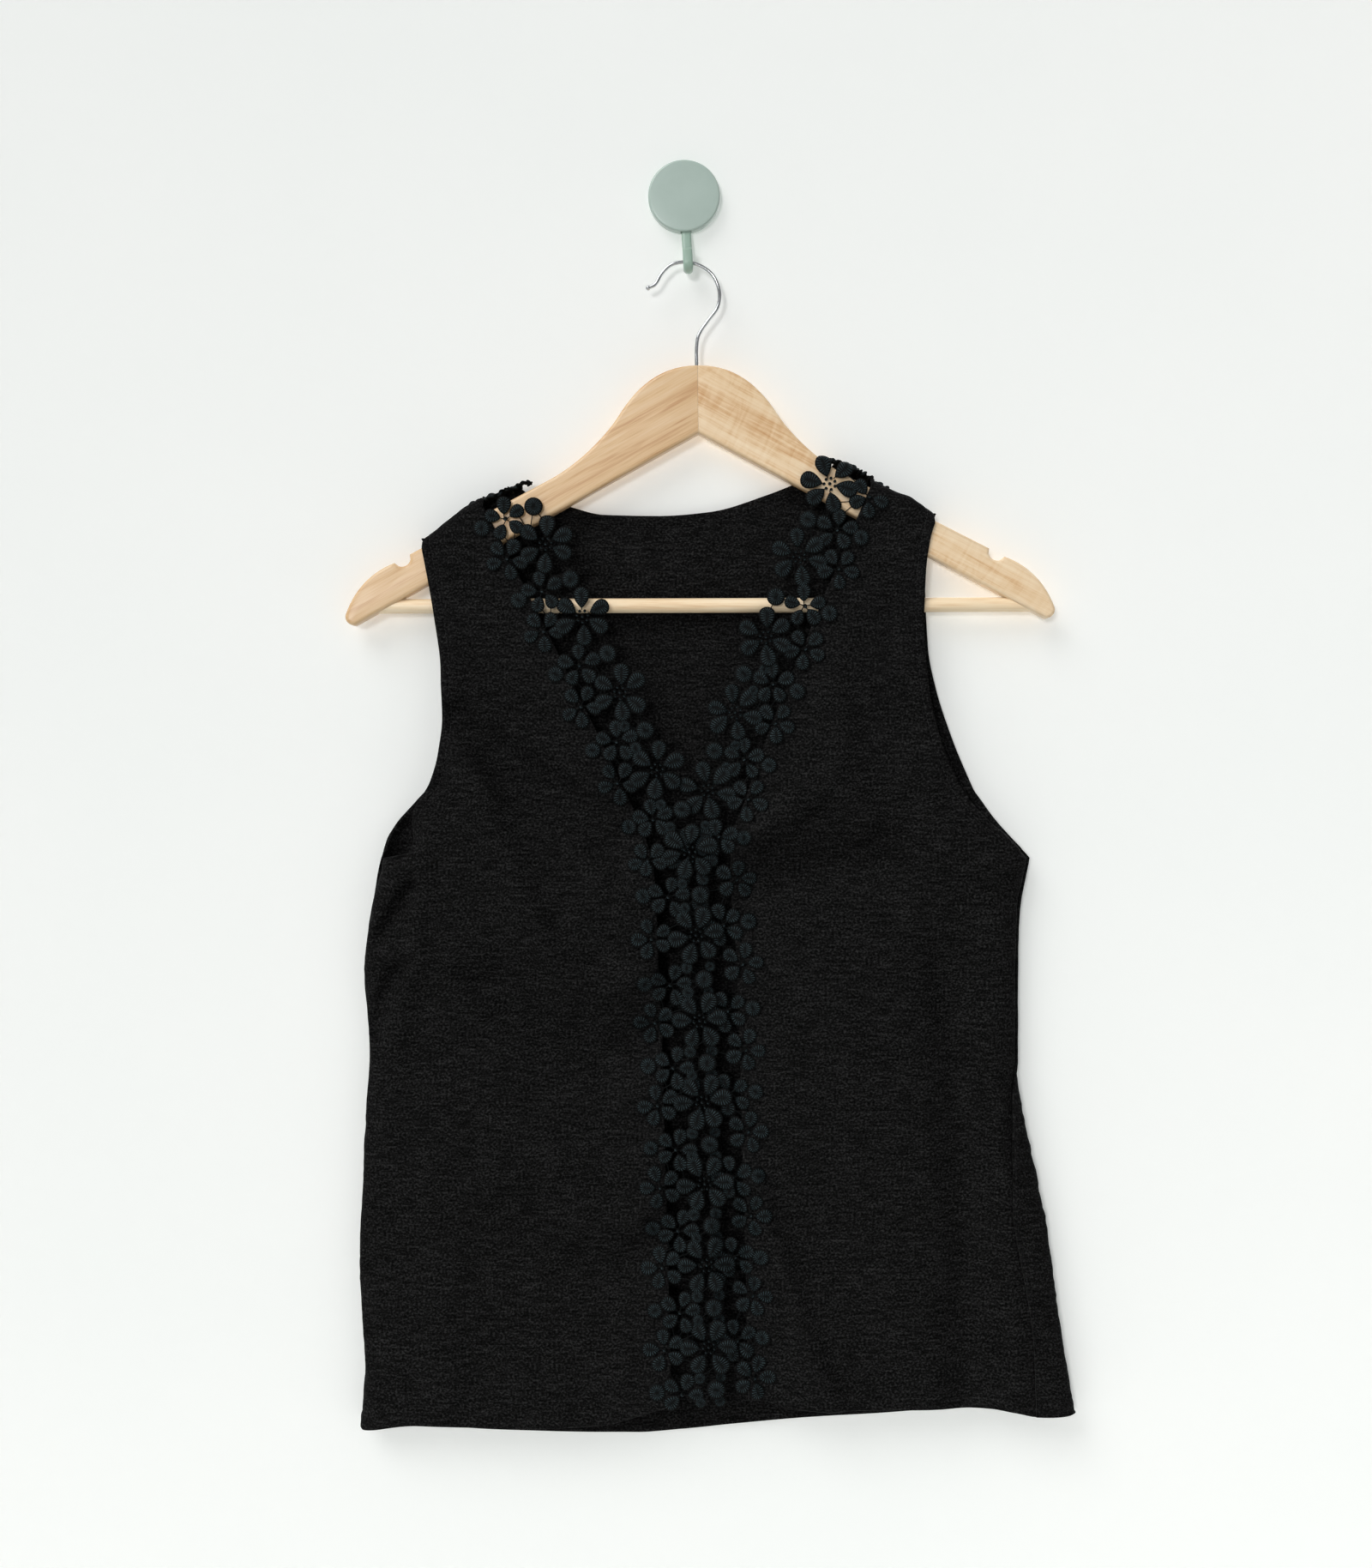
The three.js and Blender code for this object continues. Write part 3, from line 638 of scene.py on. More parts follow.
def finish_piece(
    name: str,
    mesh: Mesh,
    material: Material,
    replaces: Sequence[str] = (),
    smooth_under: float | None = 40.0,
) -> Object:
    """Makes a finished mesh a piece of the object.

    Args:
        name: The piece's name.
        mesh: Its mesh, in metres and in place.
        material: Its finish.
        replaces: The CAD nodes that it stands for.
        smooth_under: Edges that turn by fewer degrees than this are shaded smooth, or all where it is None.

    Returns:
        The piece.
    """
    mesh.name = name
    mesh.materials.append(material)
    if smooth_under is None:
        mesh.shade_smooth()
    else:
        mesh.set_sharp_from_angle(angle=math.radians(smooth_under))
    piece = bpy.data.objects.new(name, mesh)
    bpy.context.scene.collection.objects.link(piece)
    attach(piece, "root")
    if replaces:
        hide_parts(*replaces)
    LOG.info("%s: %d vertices, %d faces", name, len(mesh.vertices), len(mesh.polygons))
    return piece


def mesh_of(bm: BMesh, name: str) -> Mesh:
    """Turns a bmesh into a mesh.

    Args:
        bm: The bmesh, which is freed.
        name: The mesh's name.

    Returns:
        The mesh.
    """
    mesh = bpy.data.meshes.new(name)
    bm.to_mesh(mesh)
    bm.free()
    return mesh


def add_copy(bm: BMesh, mesh: Mesh, matrix: Matrix) -> None:
    """Adds a moved copy of a mesh to a bmesh.

    Args:
        bm: The bmesh.
        mesh: The mesh.
        matrix: What moves the copy.
    """
    before = len(bm.verts)
    bm.from_mesh(mesh)
    bm.verts.ensure_lookup_table()
    bmesh.ops.transform(bm, matrix=matrix, verts=bm.verts[before:])


def places_of(mesh: Mesh) -> Array:
    """Reads a mesh's vertices.

    Args:
        mesh: The mesh.

    Returns:
        Rows of x, y and z.
    """
    flat = np.zeros(len(mesh.vertices) * 3)
    mesh.vertices.foreach_get("co", flat)
    return flat.reshape(-1, 3)


def set_places(mesh: Mesh, places: Array) -> None:
    """Moves the mesh's vertices."""
    mesh.vertices.foreach_set("co", np.ascontiguousarray(places, np.float32).ravel())
    mesh.update()


# --- the blouse's form


@dataclass(frozen=True)
class Rows:
    """The rows of a panel from the shoulder seam down, each value a column.

    over runs from -1 at the seam, through 0 where the shoulder's bend starts, to 1 where the cloth hangs. arm
    runs down the armhole, and body from the underarm to the hem.
    """

    over: Array
    arm: Array
    body: Array

    SHOULDER = (-1.0, -0.6, -0.25, 0.0, 0.2, 0.4, 0.6, 0.8, 1.0)
    BAND_MM = 10.0
    ARMHOLE_MM = 215.0
    BODY_MM = 350.0

    @property
    def at_shoulder(self) -> Array:
        """Which rows lie on the shoulder's bend."""
        return self.arm + self.body == 0

    @classmethod
    def spaced(cls, pitch: float, fine: float) -> Rows:
        """Lays out rows, closer together along the neck and the hem.

        Args:
            pitch: Distance between the rows of the open cloth, in mm.
            fine: Distance between the rows of the turned edges, in mm.

        Returns:
            The rows.
        """
        band, armhole, body = cls.BAND_MM, cls.ARMHOLE_MM, cls.BODY_MM
        arm = [*np.arange(fine, band, fine), *np.arange(band, armhole - pitch / 2, pitch), armhole]
        hang = [*np.arange(pitch, body - band, pitch), *np.arange(body - band, body - fine / 2, fine), body]
        shoulder = len(cls.SHOULDER)
        return cls(
            np.concatenate([cls.SHOULDER, np.ones(len(arm) + len(hang))])[:, None],
            np.concatenate([np.zeros(shoulder), np.divide(arm, armhole), np.ones(len(hang))])[:, None],
            np.concatenate([np.zeros(shoulder + len(arm)), np.divide(hang, body)])[:, None],
        )


@dataclass(frozen=True)
class RowEnd:
    """Where each row meets the side: how far out, how closed the armhole is, the bend and the seam's swing."""

    sign: int
    out: Array
    closed: Array
    bend: float
    swing: Array

    SEAM_LAP_MM = 0.5
    ARMHOLE_GAP_MM = 0.03

    @property
    def overlap(self) -> Array:
        """How far front and back run past the seam, so that no light shows through it, in mm."""
        return np.where(self.closed > 0.999, self.SEAM_LAP_MM, -self.ARMHOLE_GAP_MM)


@dataclass(frozen=True)
class BlouseForm:
    """The blouse's outlines and depths as it hangs, in mm."""

    shoulder_radius: float = 5.0
    shoulder_lap: float = 4.0
    shoulder_gap: float = 0.05
    hanger_depth: float = 14.0
    underarm: float = -417.3
    armhole_closing: float = 46.0
    side_bend: dict[Side, float] = each_side(15.0, 26.0)
    neck_point: dict[Side, float] = each_side(106.0, 97.0)
    neck_release: float = 6.0
    trim_cloth: float = 24.0
    trim_cloth_fade: float = 5.0
    trim_sewn: float = 36.5
    trim_tail: float = 3.5
    crossing_top: float = -331.0
    crossing_bottom: float = -353.0
    crossing_drop: float = 2.75
    shoulder: dict[Side, Profile] = each_side(
        Profile(
            (60, -179.3), (96, -181.8), (115, -188.5), (135, -196.6), (149, -207.3), (164.5, -219.7)
        ),
        Profile(
            (60, -161.3), (87, -167), (106, -173.1), (125, -184.9), (143, -192.6), (158, -204.3)
        ),
    )
    front_armhole: dict[Side, Profile] = each_side(
        Profile(
            (-219.3, 164.5), (-242.3, 160), (-265.3, 156), (-304.3, 151), (-329.3, 150.6),
            (-351.3, 153), (-369.3, 158), (-391.3, 169.5), (-405, 168.5), (-412.5, 171), (-417.3, 188),
        ),
        Profile(
            (-204.3, 157.5), (-219.3, 153.2), (-239.3, 150.7), (-269.3, 149.6), (-312.3, 152.8),
            (-333.3, 157), (-349.3, 161.7), (-362.3, 167), (-373.3, 172.5), (-392.3, 188.5),
            (-404.3, 202.5), (-417.3, 214.8),
        ),
    )
    back_armhole: dict[Side, Profile] = each_side(
        Profile(
            (-219.3, 164.5), (-263.3, 156.5), (-304.3, 151.5), (-329.3, 151.5), (-367.3, 159.5),
            (-381.3, 166.8), (-397.3, 179.8), (-406.3, 185), (-417.3, 188),
        ),
        Profile(
            (-204.3, 157.5), (-241.3, 152), (-285.3, 153.9), (-309.3, 158.5), (-341.3, 168.8),
            (-367.3, 179.6), (-387.3, 189.2), (-404.3, 202.5), (-417.3, 214.8),
        ),
    )
    side: dict[Side, Profile] = each_side(
        Profile(
            (-417.3, 188), (-451.3, 196), (-488.3, 200), (-537.3, 196.8), (-578.3, 199.2),
            (-619.3, 200.8), (-666.3, 203), (-701.3, 201.5), (-736.3, 199.5), (-774.3, 202.2),
        ),
        Profile(
            (-417.3, 214.8), (-448.3, 209), (-471.3, 207.8), (-547.3, 207.4), (-585.3, 213.3),
            (-635.3, 224.3), (-705.3, 234.3), (-765.3, 243.5),
        ),
    )
    right_swing: Profile = Profile(
        (-541.3, 0), (-561.3, 9), (-585.3, 14), (-611.3, 18.5), (-645.3, 22.8), (-705.3, 21), (-765.3, 25)
    )
    left_tuck: float = 3.0
    left_tuck_fade: float = 30.0
    back_neck: Profile = Profile(
        (-106, -184.5), (-73, -195.6), (-50, -201), (-16, -201.7), (16, -199.2), (52, -188.6), (97, -169.6)
    )
    flower_line: dict[Side, Profile] = each_side(
        Profile(
            (-161.3, -117), (-221.3, -86), (-313.3, -40), (-361.3, -16.9), (-396.3, -1.5),
            (-421.3, 5), (-464.3, 7.6), (-568.3, 11.4), (-776.3, 17),
        ),
        Profile(
            (-151.3, 105), (-184.3, 90.5), (-279.3, 50.7), (-326.3, 31.5), (-374.3, 14.5),
            (-401.3, 6), (-421.3, 5), (-464.3, 7.6), (-568.3, 11.4), (-776.3, 17),
        ),
    )
    front_hem: Profile = Profile(
        (-202, -774.3), (-165, -769.3), (-93, -770.7), (-52, -768.7), (-16, -759.3), (12, -752.8),
        (44, -753.5), (70, -759.3), (190, -758.9), (205, -760.7), (218, -763.3), (243, -764.8),
    )
    back_hem: Profile = Profile(
        (-202, -774.3), (-107, -778.3), (-53, -779.5), (-29, -779.5), (1, -777.9), (32, -774.3),
        (76, -770.3), (170, -764.9), (205, -760.7), (218, -763.3), (243, -764.8),
    )
    front_face: Profile = Profile(
        (-161.3, 22.1), (-261.3, 22.4), (-331.3, 24), (-421.3, 26.5), (-541.3, 24.5), (-661.3, 25.5), (-776.3, 28)
    )
    back_face: Profile = Profile((-161.3, 6), (-301.3, 5.8), (-421.3, 5), (-601.3, 4.4), (-776.3, 5))
    front_relief: tuple[Swell | Fold, ...] = (
        Swell(-72, -459.3, 52, 46, 6),
        Swell(-66, -589.3, 58, 56, 3.5),
        Swell(74, -379.3, 44, 36, 4),
        Swell(92, -513.3, 62, 66, 3),
        Fold(((-142, -313.3), (-44, -385.3)), 15, 2.6),
        Fold(((-140, -335.3), (-98, -433.3)), 12, 1.6),
        Fold(((-124, -479.3), (-58, -533.3)), 16, -3),
        Fold(((40, -425.3), (118, -415.3)), 16, -3),
        Fold(((172, -451.3), (198, -741.3)), 15, -2.4),
        Fold(((40, -613.3), (92, -767.3)), 14, 3),
    )
    front_creases: tuple[Swell | Fold, ...] = (
        Fold(((-146, -306), (-100, -338), (-50, -372)), 11, 4.5),
        Fold(((-140, -331), (-91, -368), (-44, -402)), 12, -7.5),
        Fold(((-137, -352), (-112, -415), (-86, -474), (-54, -500), (-24, -488)), 11, 7.0),
        Fold(((-121, -494), (-83, -532), (-50, -543), (-20, -528)), 13, -8.5),
        Fold(((-115, -610), (-79, -636), (-42, -648), (-22, -628)), 12, 4.5),
        Fold(((-112, -636), (-79, -665), (-41, -677), (-18, -656)), 12, -5.5),
        Fold(((-150, -560), (-158, -650), (-152, -760)), 10, 1.8),
        Fold(((-204, -520), (-206, -640), (-206, -775)), 38, -4.5),
        Fold(((44, -402), (68, -386), (94, -368), (116, -392)), 10, 6.5),
        Fold(((46, -438), (82, -428), (112, -426)), 18, -9.0),
        Fold(((96, -290), (97, -345)), 12, 3.4),
        Fold(((112, -408), (127, -418), (153, -425), (172, -430), (204, -444)), 5, -2.2),
        Swell(117, -442, 14, 11, 2.1),
        Fold(((164, -482), (172, -600), (177, -752)), 14, -7.0),
        Fold(((190, -520), (200, -640), (206, -752)), 8, 4.5),
        Fold(((43, -617), (59, -662), (72, -702), (90, -752)), 9, 4.6),
        Fold(((28, -650), (40, -700), (54, -750)), 10, -4.5),
        Swell(136, -705, 26, 40, 2.8),
        Fold(((139, -271), (146, -325), (155, -372)), 7, 2.2),
        Fold(((-150, -240), (-146, -300), (-146, -345)), 9, 1.5),
        Fold(((-186, -399), (-179, -415)), 6.5, -8.0),
        Fold(((-190, -421), (-171, -425)), 3.2, 3.0),
        Fold(((-170, -436), (-181, -452), (-192, -468)), 5.5, -8.0),
        Fold(((-193, -472), (-176, -479)), 3.5, 2.2),
        Fold(((-179, -486), (-188, -504), (-194, -530)), 5.5, -6.0),
        Fold(((-160, -408), (-165, -440), (-166, -480), (-179, -522)), 6, 2.2),
    )
    back_relief: tuple[Swell | Fold, ...] = (
        Swell(-80, -351.3, 60, 70, 1.8),
        Swell(84, -373.3, 64, 66, 1.8),
        Swell(20, -561.3, 90, 80, -1.6),
        Fold(((-130, -421.3), (-150, -777.3)), 18, 2),
        Fold(((120, -441.3), (150, -771.3)), 20, 2.2),
        Fold(((10, -601.3), (4, -777.3)), 22, 1.8),
        Fold(((-118, -452), (-131, -600), (-136, -760)), 7, -0.9),
        Fold(((138, -470), (152, -610), (164, -758)), 8, -1.0),
        Fold(((-20, -640), (-30, -700), (-26, -775)), 8, -0.8),
        Fold(((-150, -392), (-96, -442), (-52, -456)), 9, 0.9),
        Fold(((168, -398), (112, -438), (70, -450)), 9, 0.9),
        Fold(((-60, -236), (0, -246), (60, -234)), 10, -0.7),
    )

    def seam_height(self, x: Array) -> Array:
        """Height of the shoulder seam's top at x."""
        out = np.abs(x)
        return np.where(np.asarray(x) < 0, self.shoulder[Side.LEFT](out), self.shoulder[Side.RIGHT](out))

    def over_shoulder(self, rows: Rows) -> Array:
        """Length of cloth from where it hangs straight up to each row of the shoulder."""
        bent = self.shoulder_radius * QUARTER * (1 - np.clip(rows.over, 0, 1))
        return bent - self.shoulder_lap * np.minimum(rows.over, 0)

    def back_top(self, x: Array) -> Array:
        """Height of the back panel's top edge, its neck or its shoulder seam."""
        on_neck = (x > -self.neck_point[Side.LEFT]) & (x < self.neck_point[Side.RIGHT])
        return np.where(on_neck, self.back_neck(x), self.seam_height(x))

    def front_depth(self, x: Array, z: Array) -> Array:
        """Depth of the fronts' outer face."""
        return self.front_face(z) + sum(form.at(x, z) for form in (*self.front_relief, *self.front_creases))

    def back_depth(self, x: Array, z: Array) -> Array:
        """Depth of the back's outer face."""
        return self.back_face(z) - sum(form.at(x, z) for form in self.back_relief)

    def _row_height(self, rows: Rows, top: Array, hem: Array) -> Array:
        """Height of each row between the shoulder's top and the hem."""
        armhole = mix(top - self.shoulder_radius, self.underarm, rows.arm)
        return np.where(rows.body > 0, mix(self.underarm, hem, rows.body), armhole)

    def front_height(self, rows: Rows, x: Array) -> Array:
        """Height of the fronts' rows at x."""
        return self._row_height(rows, self.seam_height(x), self.front_hem(x))

    def back_height(self, rows: Rows, x: Array) -> Array:
        """Height of the back's rows at x."""
        return self._row_height(rows, self.back_top(x), self.back_hem(x))

    def row_end(self, side: Side, rows: Rows, is_front: bool) -> RowEnd:
        """Finds where each row meets the side.

        Args:
            side: The side.
            rows: The panel's rows.
            is_front: Whether the panel is a front or the back.

        Returns:
            The rows' ends.
        """
        height_at = self.front_height if is_front else self.back_height
        armhole = (self.front_armhole if is_front else self.back_armhole)[side]
        seam, sign = self.side[side], side.value

        def out_at(z: Array) -> Array:
            """How far out the side is at a height."""
            return np.where(z > self.underarm, armhole(z), seam(z))

        start = np.full_like(rows.over, sign * float(seam.value[-1]))
        z = height_at(rows, settle(lambda x: sign * out_at(height_at(rows, x)), start))
        closed = 1 - ease(z, self.underarm, self.underarm + self.armhole_closing)
        if side is Side.RIGHT:
            swing = np.where(z < self.right_swing.at[-1], self.right_swing(z), 0.0)
        else:
            swing = -self.left_tuck * (1 - ease(z, self.underarm - self.left_tuck_fade, self.underarm))
        return RowEnd(sign, out_at(z), closed, self.side_bend[side], swing)

    def _shoulder(self, rows: Rows, x: Array, face: Array) -> tuple[Array, Array]:
        """Bends the cloth over the shoulder.

        Args:
            rows: The panel's rows.
            x: Where they are.
            face: The depth of the panel's face there.

        Returns:
            The depth and height of the shoulder's rows.
        """
        toward = np.sign(face - self.hanger_depth)
        top = self.seam_height(x)
        angle = np.clip(rows.over, 0, 1) * QUARTER
        depth = face + toward * self.shoulder_radius * (np.sin(angle) - 1)
        z = top - self.shoulder_radius * (1 - np.cos(angle))
        seam = self.hanger_depth + toward * self.shoulder_gap
        return np.where(rows.over < 0, mix(depth, seam, -rows.over), depth), z

    def front_point(self, rows: Rows, x: Array) -> Points:
        """Finds the fronts' outer face.

        Args:
            rows: The panel's rows.
            x: Where on each row.

        Returns:
            x, depth and z.
        """
        z = self.front_height(rows, x)
        face = self.front_depth(x, z)
        over_depth, over_z = self._shoulder(rows, x, face)
        return x, np.where(rows.at_shoulder, over_depth, face), np.where(rows.at_shoulder, over_z, z)

    def back_point(self, rows: Rows, x: Array) -> Points:
        """Finds the back's outer face, which hangs straight at the neck.

        Args:
            rows: The panel's rows.
            x: Where on each row.

        Returns:
            x, depth and z.
        """
        z = self.back_height(rows, x)
        face = self.back_depth(x, z)
        over_depth, over_z = self._shoulder(rows, x, face)
        neck = np.where(x < 0, self.neck_point[Side.LEFT], self.neck_point[Side.RIGHT])
        on_seam = np.where(np.abs(x) < neck, ease(np.abs(x) - neck, -self.neck_release, 0.0), 1.0)
        neck_z = self.back_top(x) - self.shoulder_radius * (rows.over + 1) / 2
        depth = np.where(rows.at_shoulder, mix(face, over_depth, on_seam), face)
        return x, depth, np.where(rows.at_shoulder, mix(neck_z, over_z, on_seam), z)

    def bend(self, rows: Rows, end: RowEnd, girth: Array) -> Points:
        """Finds the cloth near the side, which bends round to the seam.

        Args:
            rows: The panel's rows.
            end: Where they meet the side.
            girth: How far in from the side along the cloth, on the front where it is positive.

        Returns:
            x, depth and z.
        """
        turn = np.minimum(1, np.abs(girth) / end.bend) * QUARTER
        straight = np.maximum(0, np.abs(girth) - end.bend)
        x = end.sign * (end.out - end.bend * (1 - np.cos(turn)) - straight)
        front, back = self.front_point(rows, x), self.back_point(rows, x)
        depth = np.where(girth > 0, front[1], back[1])
        z = np.where(girth > 0, front[2], back[2])
        return x, mix(depth, self.hanger_depth, end.closed * (1 - np.sin(turn))), z

    def trim_line(self, side: Side, rows: Rows, across: float) -> Array:
        """Finds the line that runs beside a trim's flowers.

        Args:
            side: The trim's side.
            rows: The panel's rows.
            across: How far from the flowers the line runs, towards the cloth.

        Returns:
            The line's x on each row.
        """
        line = self.flower_line[side]

        def beside(x: Array) -> Array:
            """Where the line is at the height that a row has at x."""
            z = self.front_height(rows, x)
            return line(z) + side.value * across * np.hypot(1, line(z + 1) - line(z))

        return settle(beside, np.full_like(rows.over, float(line(self.underarm))))

    def lay_trim(self, side: Side, x: Array, z: Array, across: Array, lift: Array) -> Array:
        """Lays points of a trim on the fronts and over the shoulder.

        Args:
            side: The trim's side.
            x: Where the points lie as seen from the front.
            z: Their heights as seen from the front.
            across: How far they are from the line of flowers, towards the cloth.
            lift: How far they stand off the cloth's face.

        Returns:
            Rows of x, y and z in metres.
        """
        face = self.front_depth(x, z)
        if side is Side.RIGHT:
            own_cloth = ease(across, self.trim_cloth - self.trim_cloth_fade, self.trim_cloth)
            below = ease(-z, -self.crossing_top, -self.crossing_bottom)
            face = face - self.crossing_drop * below * (1 - own_cloth)
        radius, top = self.shoulder_radius, self.seam_height(x)
        quarter = radius * QUARTER
        climb = np.clip(z - (top - radius), 0, quarter + self.trim_tail)
        angle = QUARTER - np.minimum(climb / radius, QUARTER)
        over = np.maximum(climb - quarter, 0)
        raised = radius + lift
        depth = np.where(climb > 0, face + raised * np.sin(angle) - radius - over, face + lift)
        height = np.where(climb > 0, top - radius + raised * np.cos(angle), z)
        return np.stack([x * MM, -depth * MM, height * MM], axis=-1)


# --- the panels


@dataclass(frozen=True)
class Lattice:
    """A panel as rows and columns of places, with what is known of each place."""

    places: Array
    flat: Array
    hem: Array
    armhole: Array
    neck: Array
    seam: Array

    def normals(self) -> Array:
        """The direction out of the cloth's outer face at each place."""
        down, across = np.gradient(self.places, axis=0), np.gradient(self.places, axis=1)
        square = np.cross(across, down)
        length = np.linalg.norm(square, axis=-1, keepdims=True)
        return square / np.maximum(length, 1e-12)


@dataclass
class Panel:
    """A crepe panel: a thin wall on the blouse's form, with its edges turned in and stitched."""

    form: BlouseForm
    name: str
    node: str
    seed: int
    wall_mm: float = 0.8
    turned_mm: float = 2.0
    turned_rise: float = 0.55
    turned_step: float = 1.2
    hem_mm: float = 12.0
    armhole_mm: float = 6.0
    neck_mm: float = 6.7
    groove_depth: float = 0.9
    groove_reach: float = 0.9
    pinched_mm: float = 0.3
    pinch: float = 1.3
    allowance_mm: float = 9.0
    allowance_share: float = 0.65
    edge_fade_mm: float = 1.5
    edge_roll: float = 0.3
    edge_reach: float = 0.8
    seam_reach: float = 1.2
    corner_mm: float = 5.0
    ripples: tuple[tuple[float, ...], ...] = ((14, 46, 0.2), (5.5, 11, 0.13, 1.8))
    wall_steps: int = 40
    outward: int = 1
    stitch_paths: list[Array] = field(default_factory=list)

    def lattice(self) -> Lattice:
        """Lays the panel out; each kind of panel does this in its own way."""
        raise NotImplementedError

    def _distances(self, end: RowEnd, girth: Array, height: Array, slope: Array) -> tuple[Array, Array]:
        """Measures from the panel's side.

        Args:
            end: Where the rows meet the side; not used.
            girth: How far in from the side each place is, along its row.
            height: The places' heights.
            slope: How far the side moves out for each millimetre of height.

        Returns:
            How far places are from the armhole's edge and from the side seam, in mm.
        """
        in_armhole = height > self.form.underarm + self.corner_mm
        armhole = np.where(in_armhole, girth / np.hypot(1, slope), NOWHERE_NEAR)
        return armhole, np.where(in_armhole, NOWHERE_NEAR, girth)

    def _relief(self, lattice: Lattice) -> tuple[Array, Array]:
        """Works out the turned and stitched edges and the crinkle.

        Args:
            lattice: The panel laid out.

        Returns:
            How far the face rises, and how thick the wall is, in mm.
        """
        turned = np.zeros_like(lattice.hem)
        groove = np.zeros_like(lattice.hem)
        for distance, width in (
            (lattice.hem, self.hem_mm),
            (lattice.armhole, self.armhole_mm),
            (lattice.neck, self.neck_mm),
        ):
            turned = np.maximum(turned, 1 - ease(distance, width, width + self.turned_step))
            groove = np.maximum(groove, bump(distance, width, self.groove_reach))
        groove *= lattice.hem > self.hem_mm + 2  # the hem is felled by hand and shows no stitch line
        edge = np.minimum(np.minimum(lattice.hem, lattice.armhole), np.minimum(lattice.neck, lattice.seam))
        u, v = lattice.flat[..., 0], lattice.flat[..., 1]
        ripple = sum(Crinkle(self.seed + i, *ripple).at(u, v) for i, ripple in enumerate(self.ripples))
        rise = (ripple + self.turned_rise * turned) * ease(edge, 0.0, self.edge_fade_mm)
        rise -= self.groove_depth * groove + self.edge_roll * bump(edge, 0, self.edge_reach)
        rise -= self.edge_roll * bump(lattice.seam, 0, self.seam_reach)
        wall = mix(self.wall_mm, self.turned_mm, turned)
        allowance = 1 - ease(lattice.seam, self.allowance_mm, self.allowance_mm + 1)
        wall = np.maximum(wall, mix(self.wall_mm, self.turned_mm * self.allowance_share, allowance))
        wall -= self.pinch * groove * (wall - self.pinched_mm) / (self.turned_mm - self.pinched_mm)
        return rise, wall

    def build(self, material: Material) -> Object:
        """Builds the panel.

        Args:
            material: The crepe.

        Returns:
            The piece.
        """
        lattice = self.lattice()
        rows, columns = lattice.hem.shape
        normals = lattice.normals() * self.outward
        rise, wall = self._relief(lattice)
        places = lattice.places + normals * (rise * MM)[..., None]

        bm = bmesh.new()
        half = 0.5
        bmesh.ops.create_grid(bm, x_segments=columns - 1, y_segments=rows - 1, size=half)
        mesh = mesh_of(bm, self.name)
        square = places_of(mesh)
        column = np.rint((square[:, 0] + half) * (columns - 1)).astype(int)
        row = np.rint((square[:, 1] + half) * (rows - 1)).astype(int)
        set_places(mesh, places[row, column])
        corners = np.zeros(len(mesh.loops), int)
        mesh.loops.foreach_get("vertex_index", corners)
        layer = mesh.uv_layers.new(name="cloth")
        layer.data.foreach_set("uv", (lattice.flat[row, column][corners] * MM).astype(np.float32).ravel())
        middle = mesh.polygons[len(mesh.polygons) // 2]
        outward = normals[row, column][list(middle.vertices)].mean(axis=0)
        if Vector(outward).dot(middle.normal) < 0:
            mesh.flip_normals()
        piece = finish_piece(self.name, mesh, material, [self.node], None)
        self._thicken(piece, wall[row, column])
        self._plan_stitches(lattice, places, normals)
        return piece

    def _thicken(self, piece: Object, wall: Array) -> None:
        """Gives the cloth its thickness, inwards from its face.

        Args:
            piece: The panel.
            wall: The thickness at each of its vertices, in mm.
        """
        group = piece.vertex_groups.new(name="wall")
        steps = np.rint(wall / self.turned_mm * self.wall_steps).astype(int)
        for step in np.unique(steps):
            group.add(np.nonzero(steps == step)[0].tolist(), float(step) / self.wall_steps, "REPLACE")
        solidify = piece.modifiers.new("wall", "SOLIDIFY")
        solidify.thickness = self.turned_mm * MM
        solidify.offset = -1
        solidify.vertex_group = group.name

    def _plan_stitches(self, lattice: Lattice, places: Array, normals: Array) -> None:
        """Traces the stitch lines along the armholes and the neck.

        Args:
            lattice: The panel laid out.
            places: Where its face is.
            normals: The directions out of it.
        """
        known = np.concatenate([places, normals], axis=-1)
        for distance, width, along_rows in (
            (lattice.armhole, self.armhole_mm, True),
            (lattice.neck, self.neck_mm, False),
        ):
            for line in self._contours(distance, width, along_rows):
                self.stitch_paths.append(np.array([mix(known[a], known[b], t) for a, b, t in line]))

    @staticmethod
    def _contours(distance: Array, level: float, along_rows: bool) -> list[list[tuple]]:
        """Finds where a distance passes a level, line by line of the lattice.

        Args:
            distance: The distance at each place.
            level: The level to find.
            along_rows: Whether to look along the rows or along the columns.

        Returns:
            Lines of crossings, each a pair of places and the share between them.
        """
        jump, fewest = 8.0, 5
        grid = distance if along_rows else distance.T
        found: dict[bool, list[tuple]] = {True: [], False: []}
        for i, values in enumerate(grid):
            inside = values < level
            for j in np.nonzero(inside[:-1] != inside[1:])[0]:
                if max(values[j], values[j + 1]) > level + jump:
                    continue
                t = (level - values[j]) / (values[j + 1] - values[j])
                a, b = ((i, j), (i, j + 1)) if along_rows else ((j, i), (j + 1, i))
                found[bool(inside[j])].append((a, b, t))
        return [line for line in found.values() if len(line) >= fewest]


def slope_of(out: Array, height: Array) -> Array:
    """How far an edge moves out for each millimetre of height, of rows that run down."""
    least = -1e-3
    return np.gradient(out[:, 0])[:, None] / np.minimum(np.gradient(height[:, 0])[:, None], least)


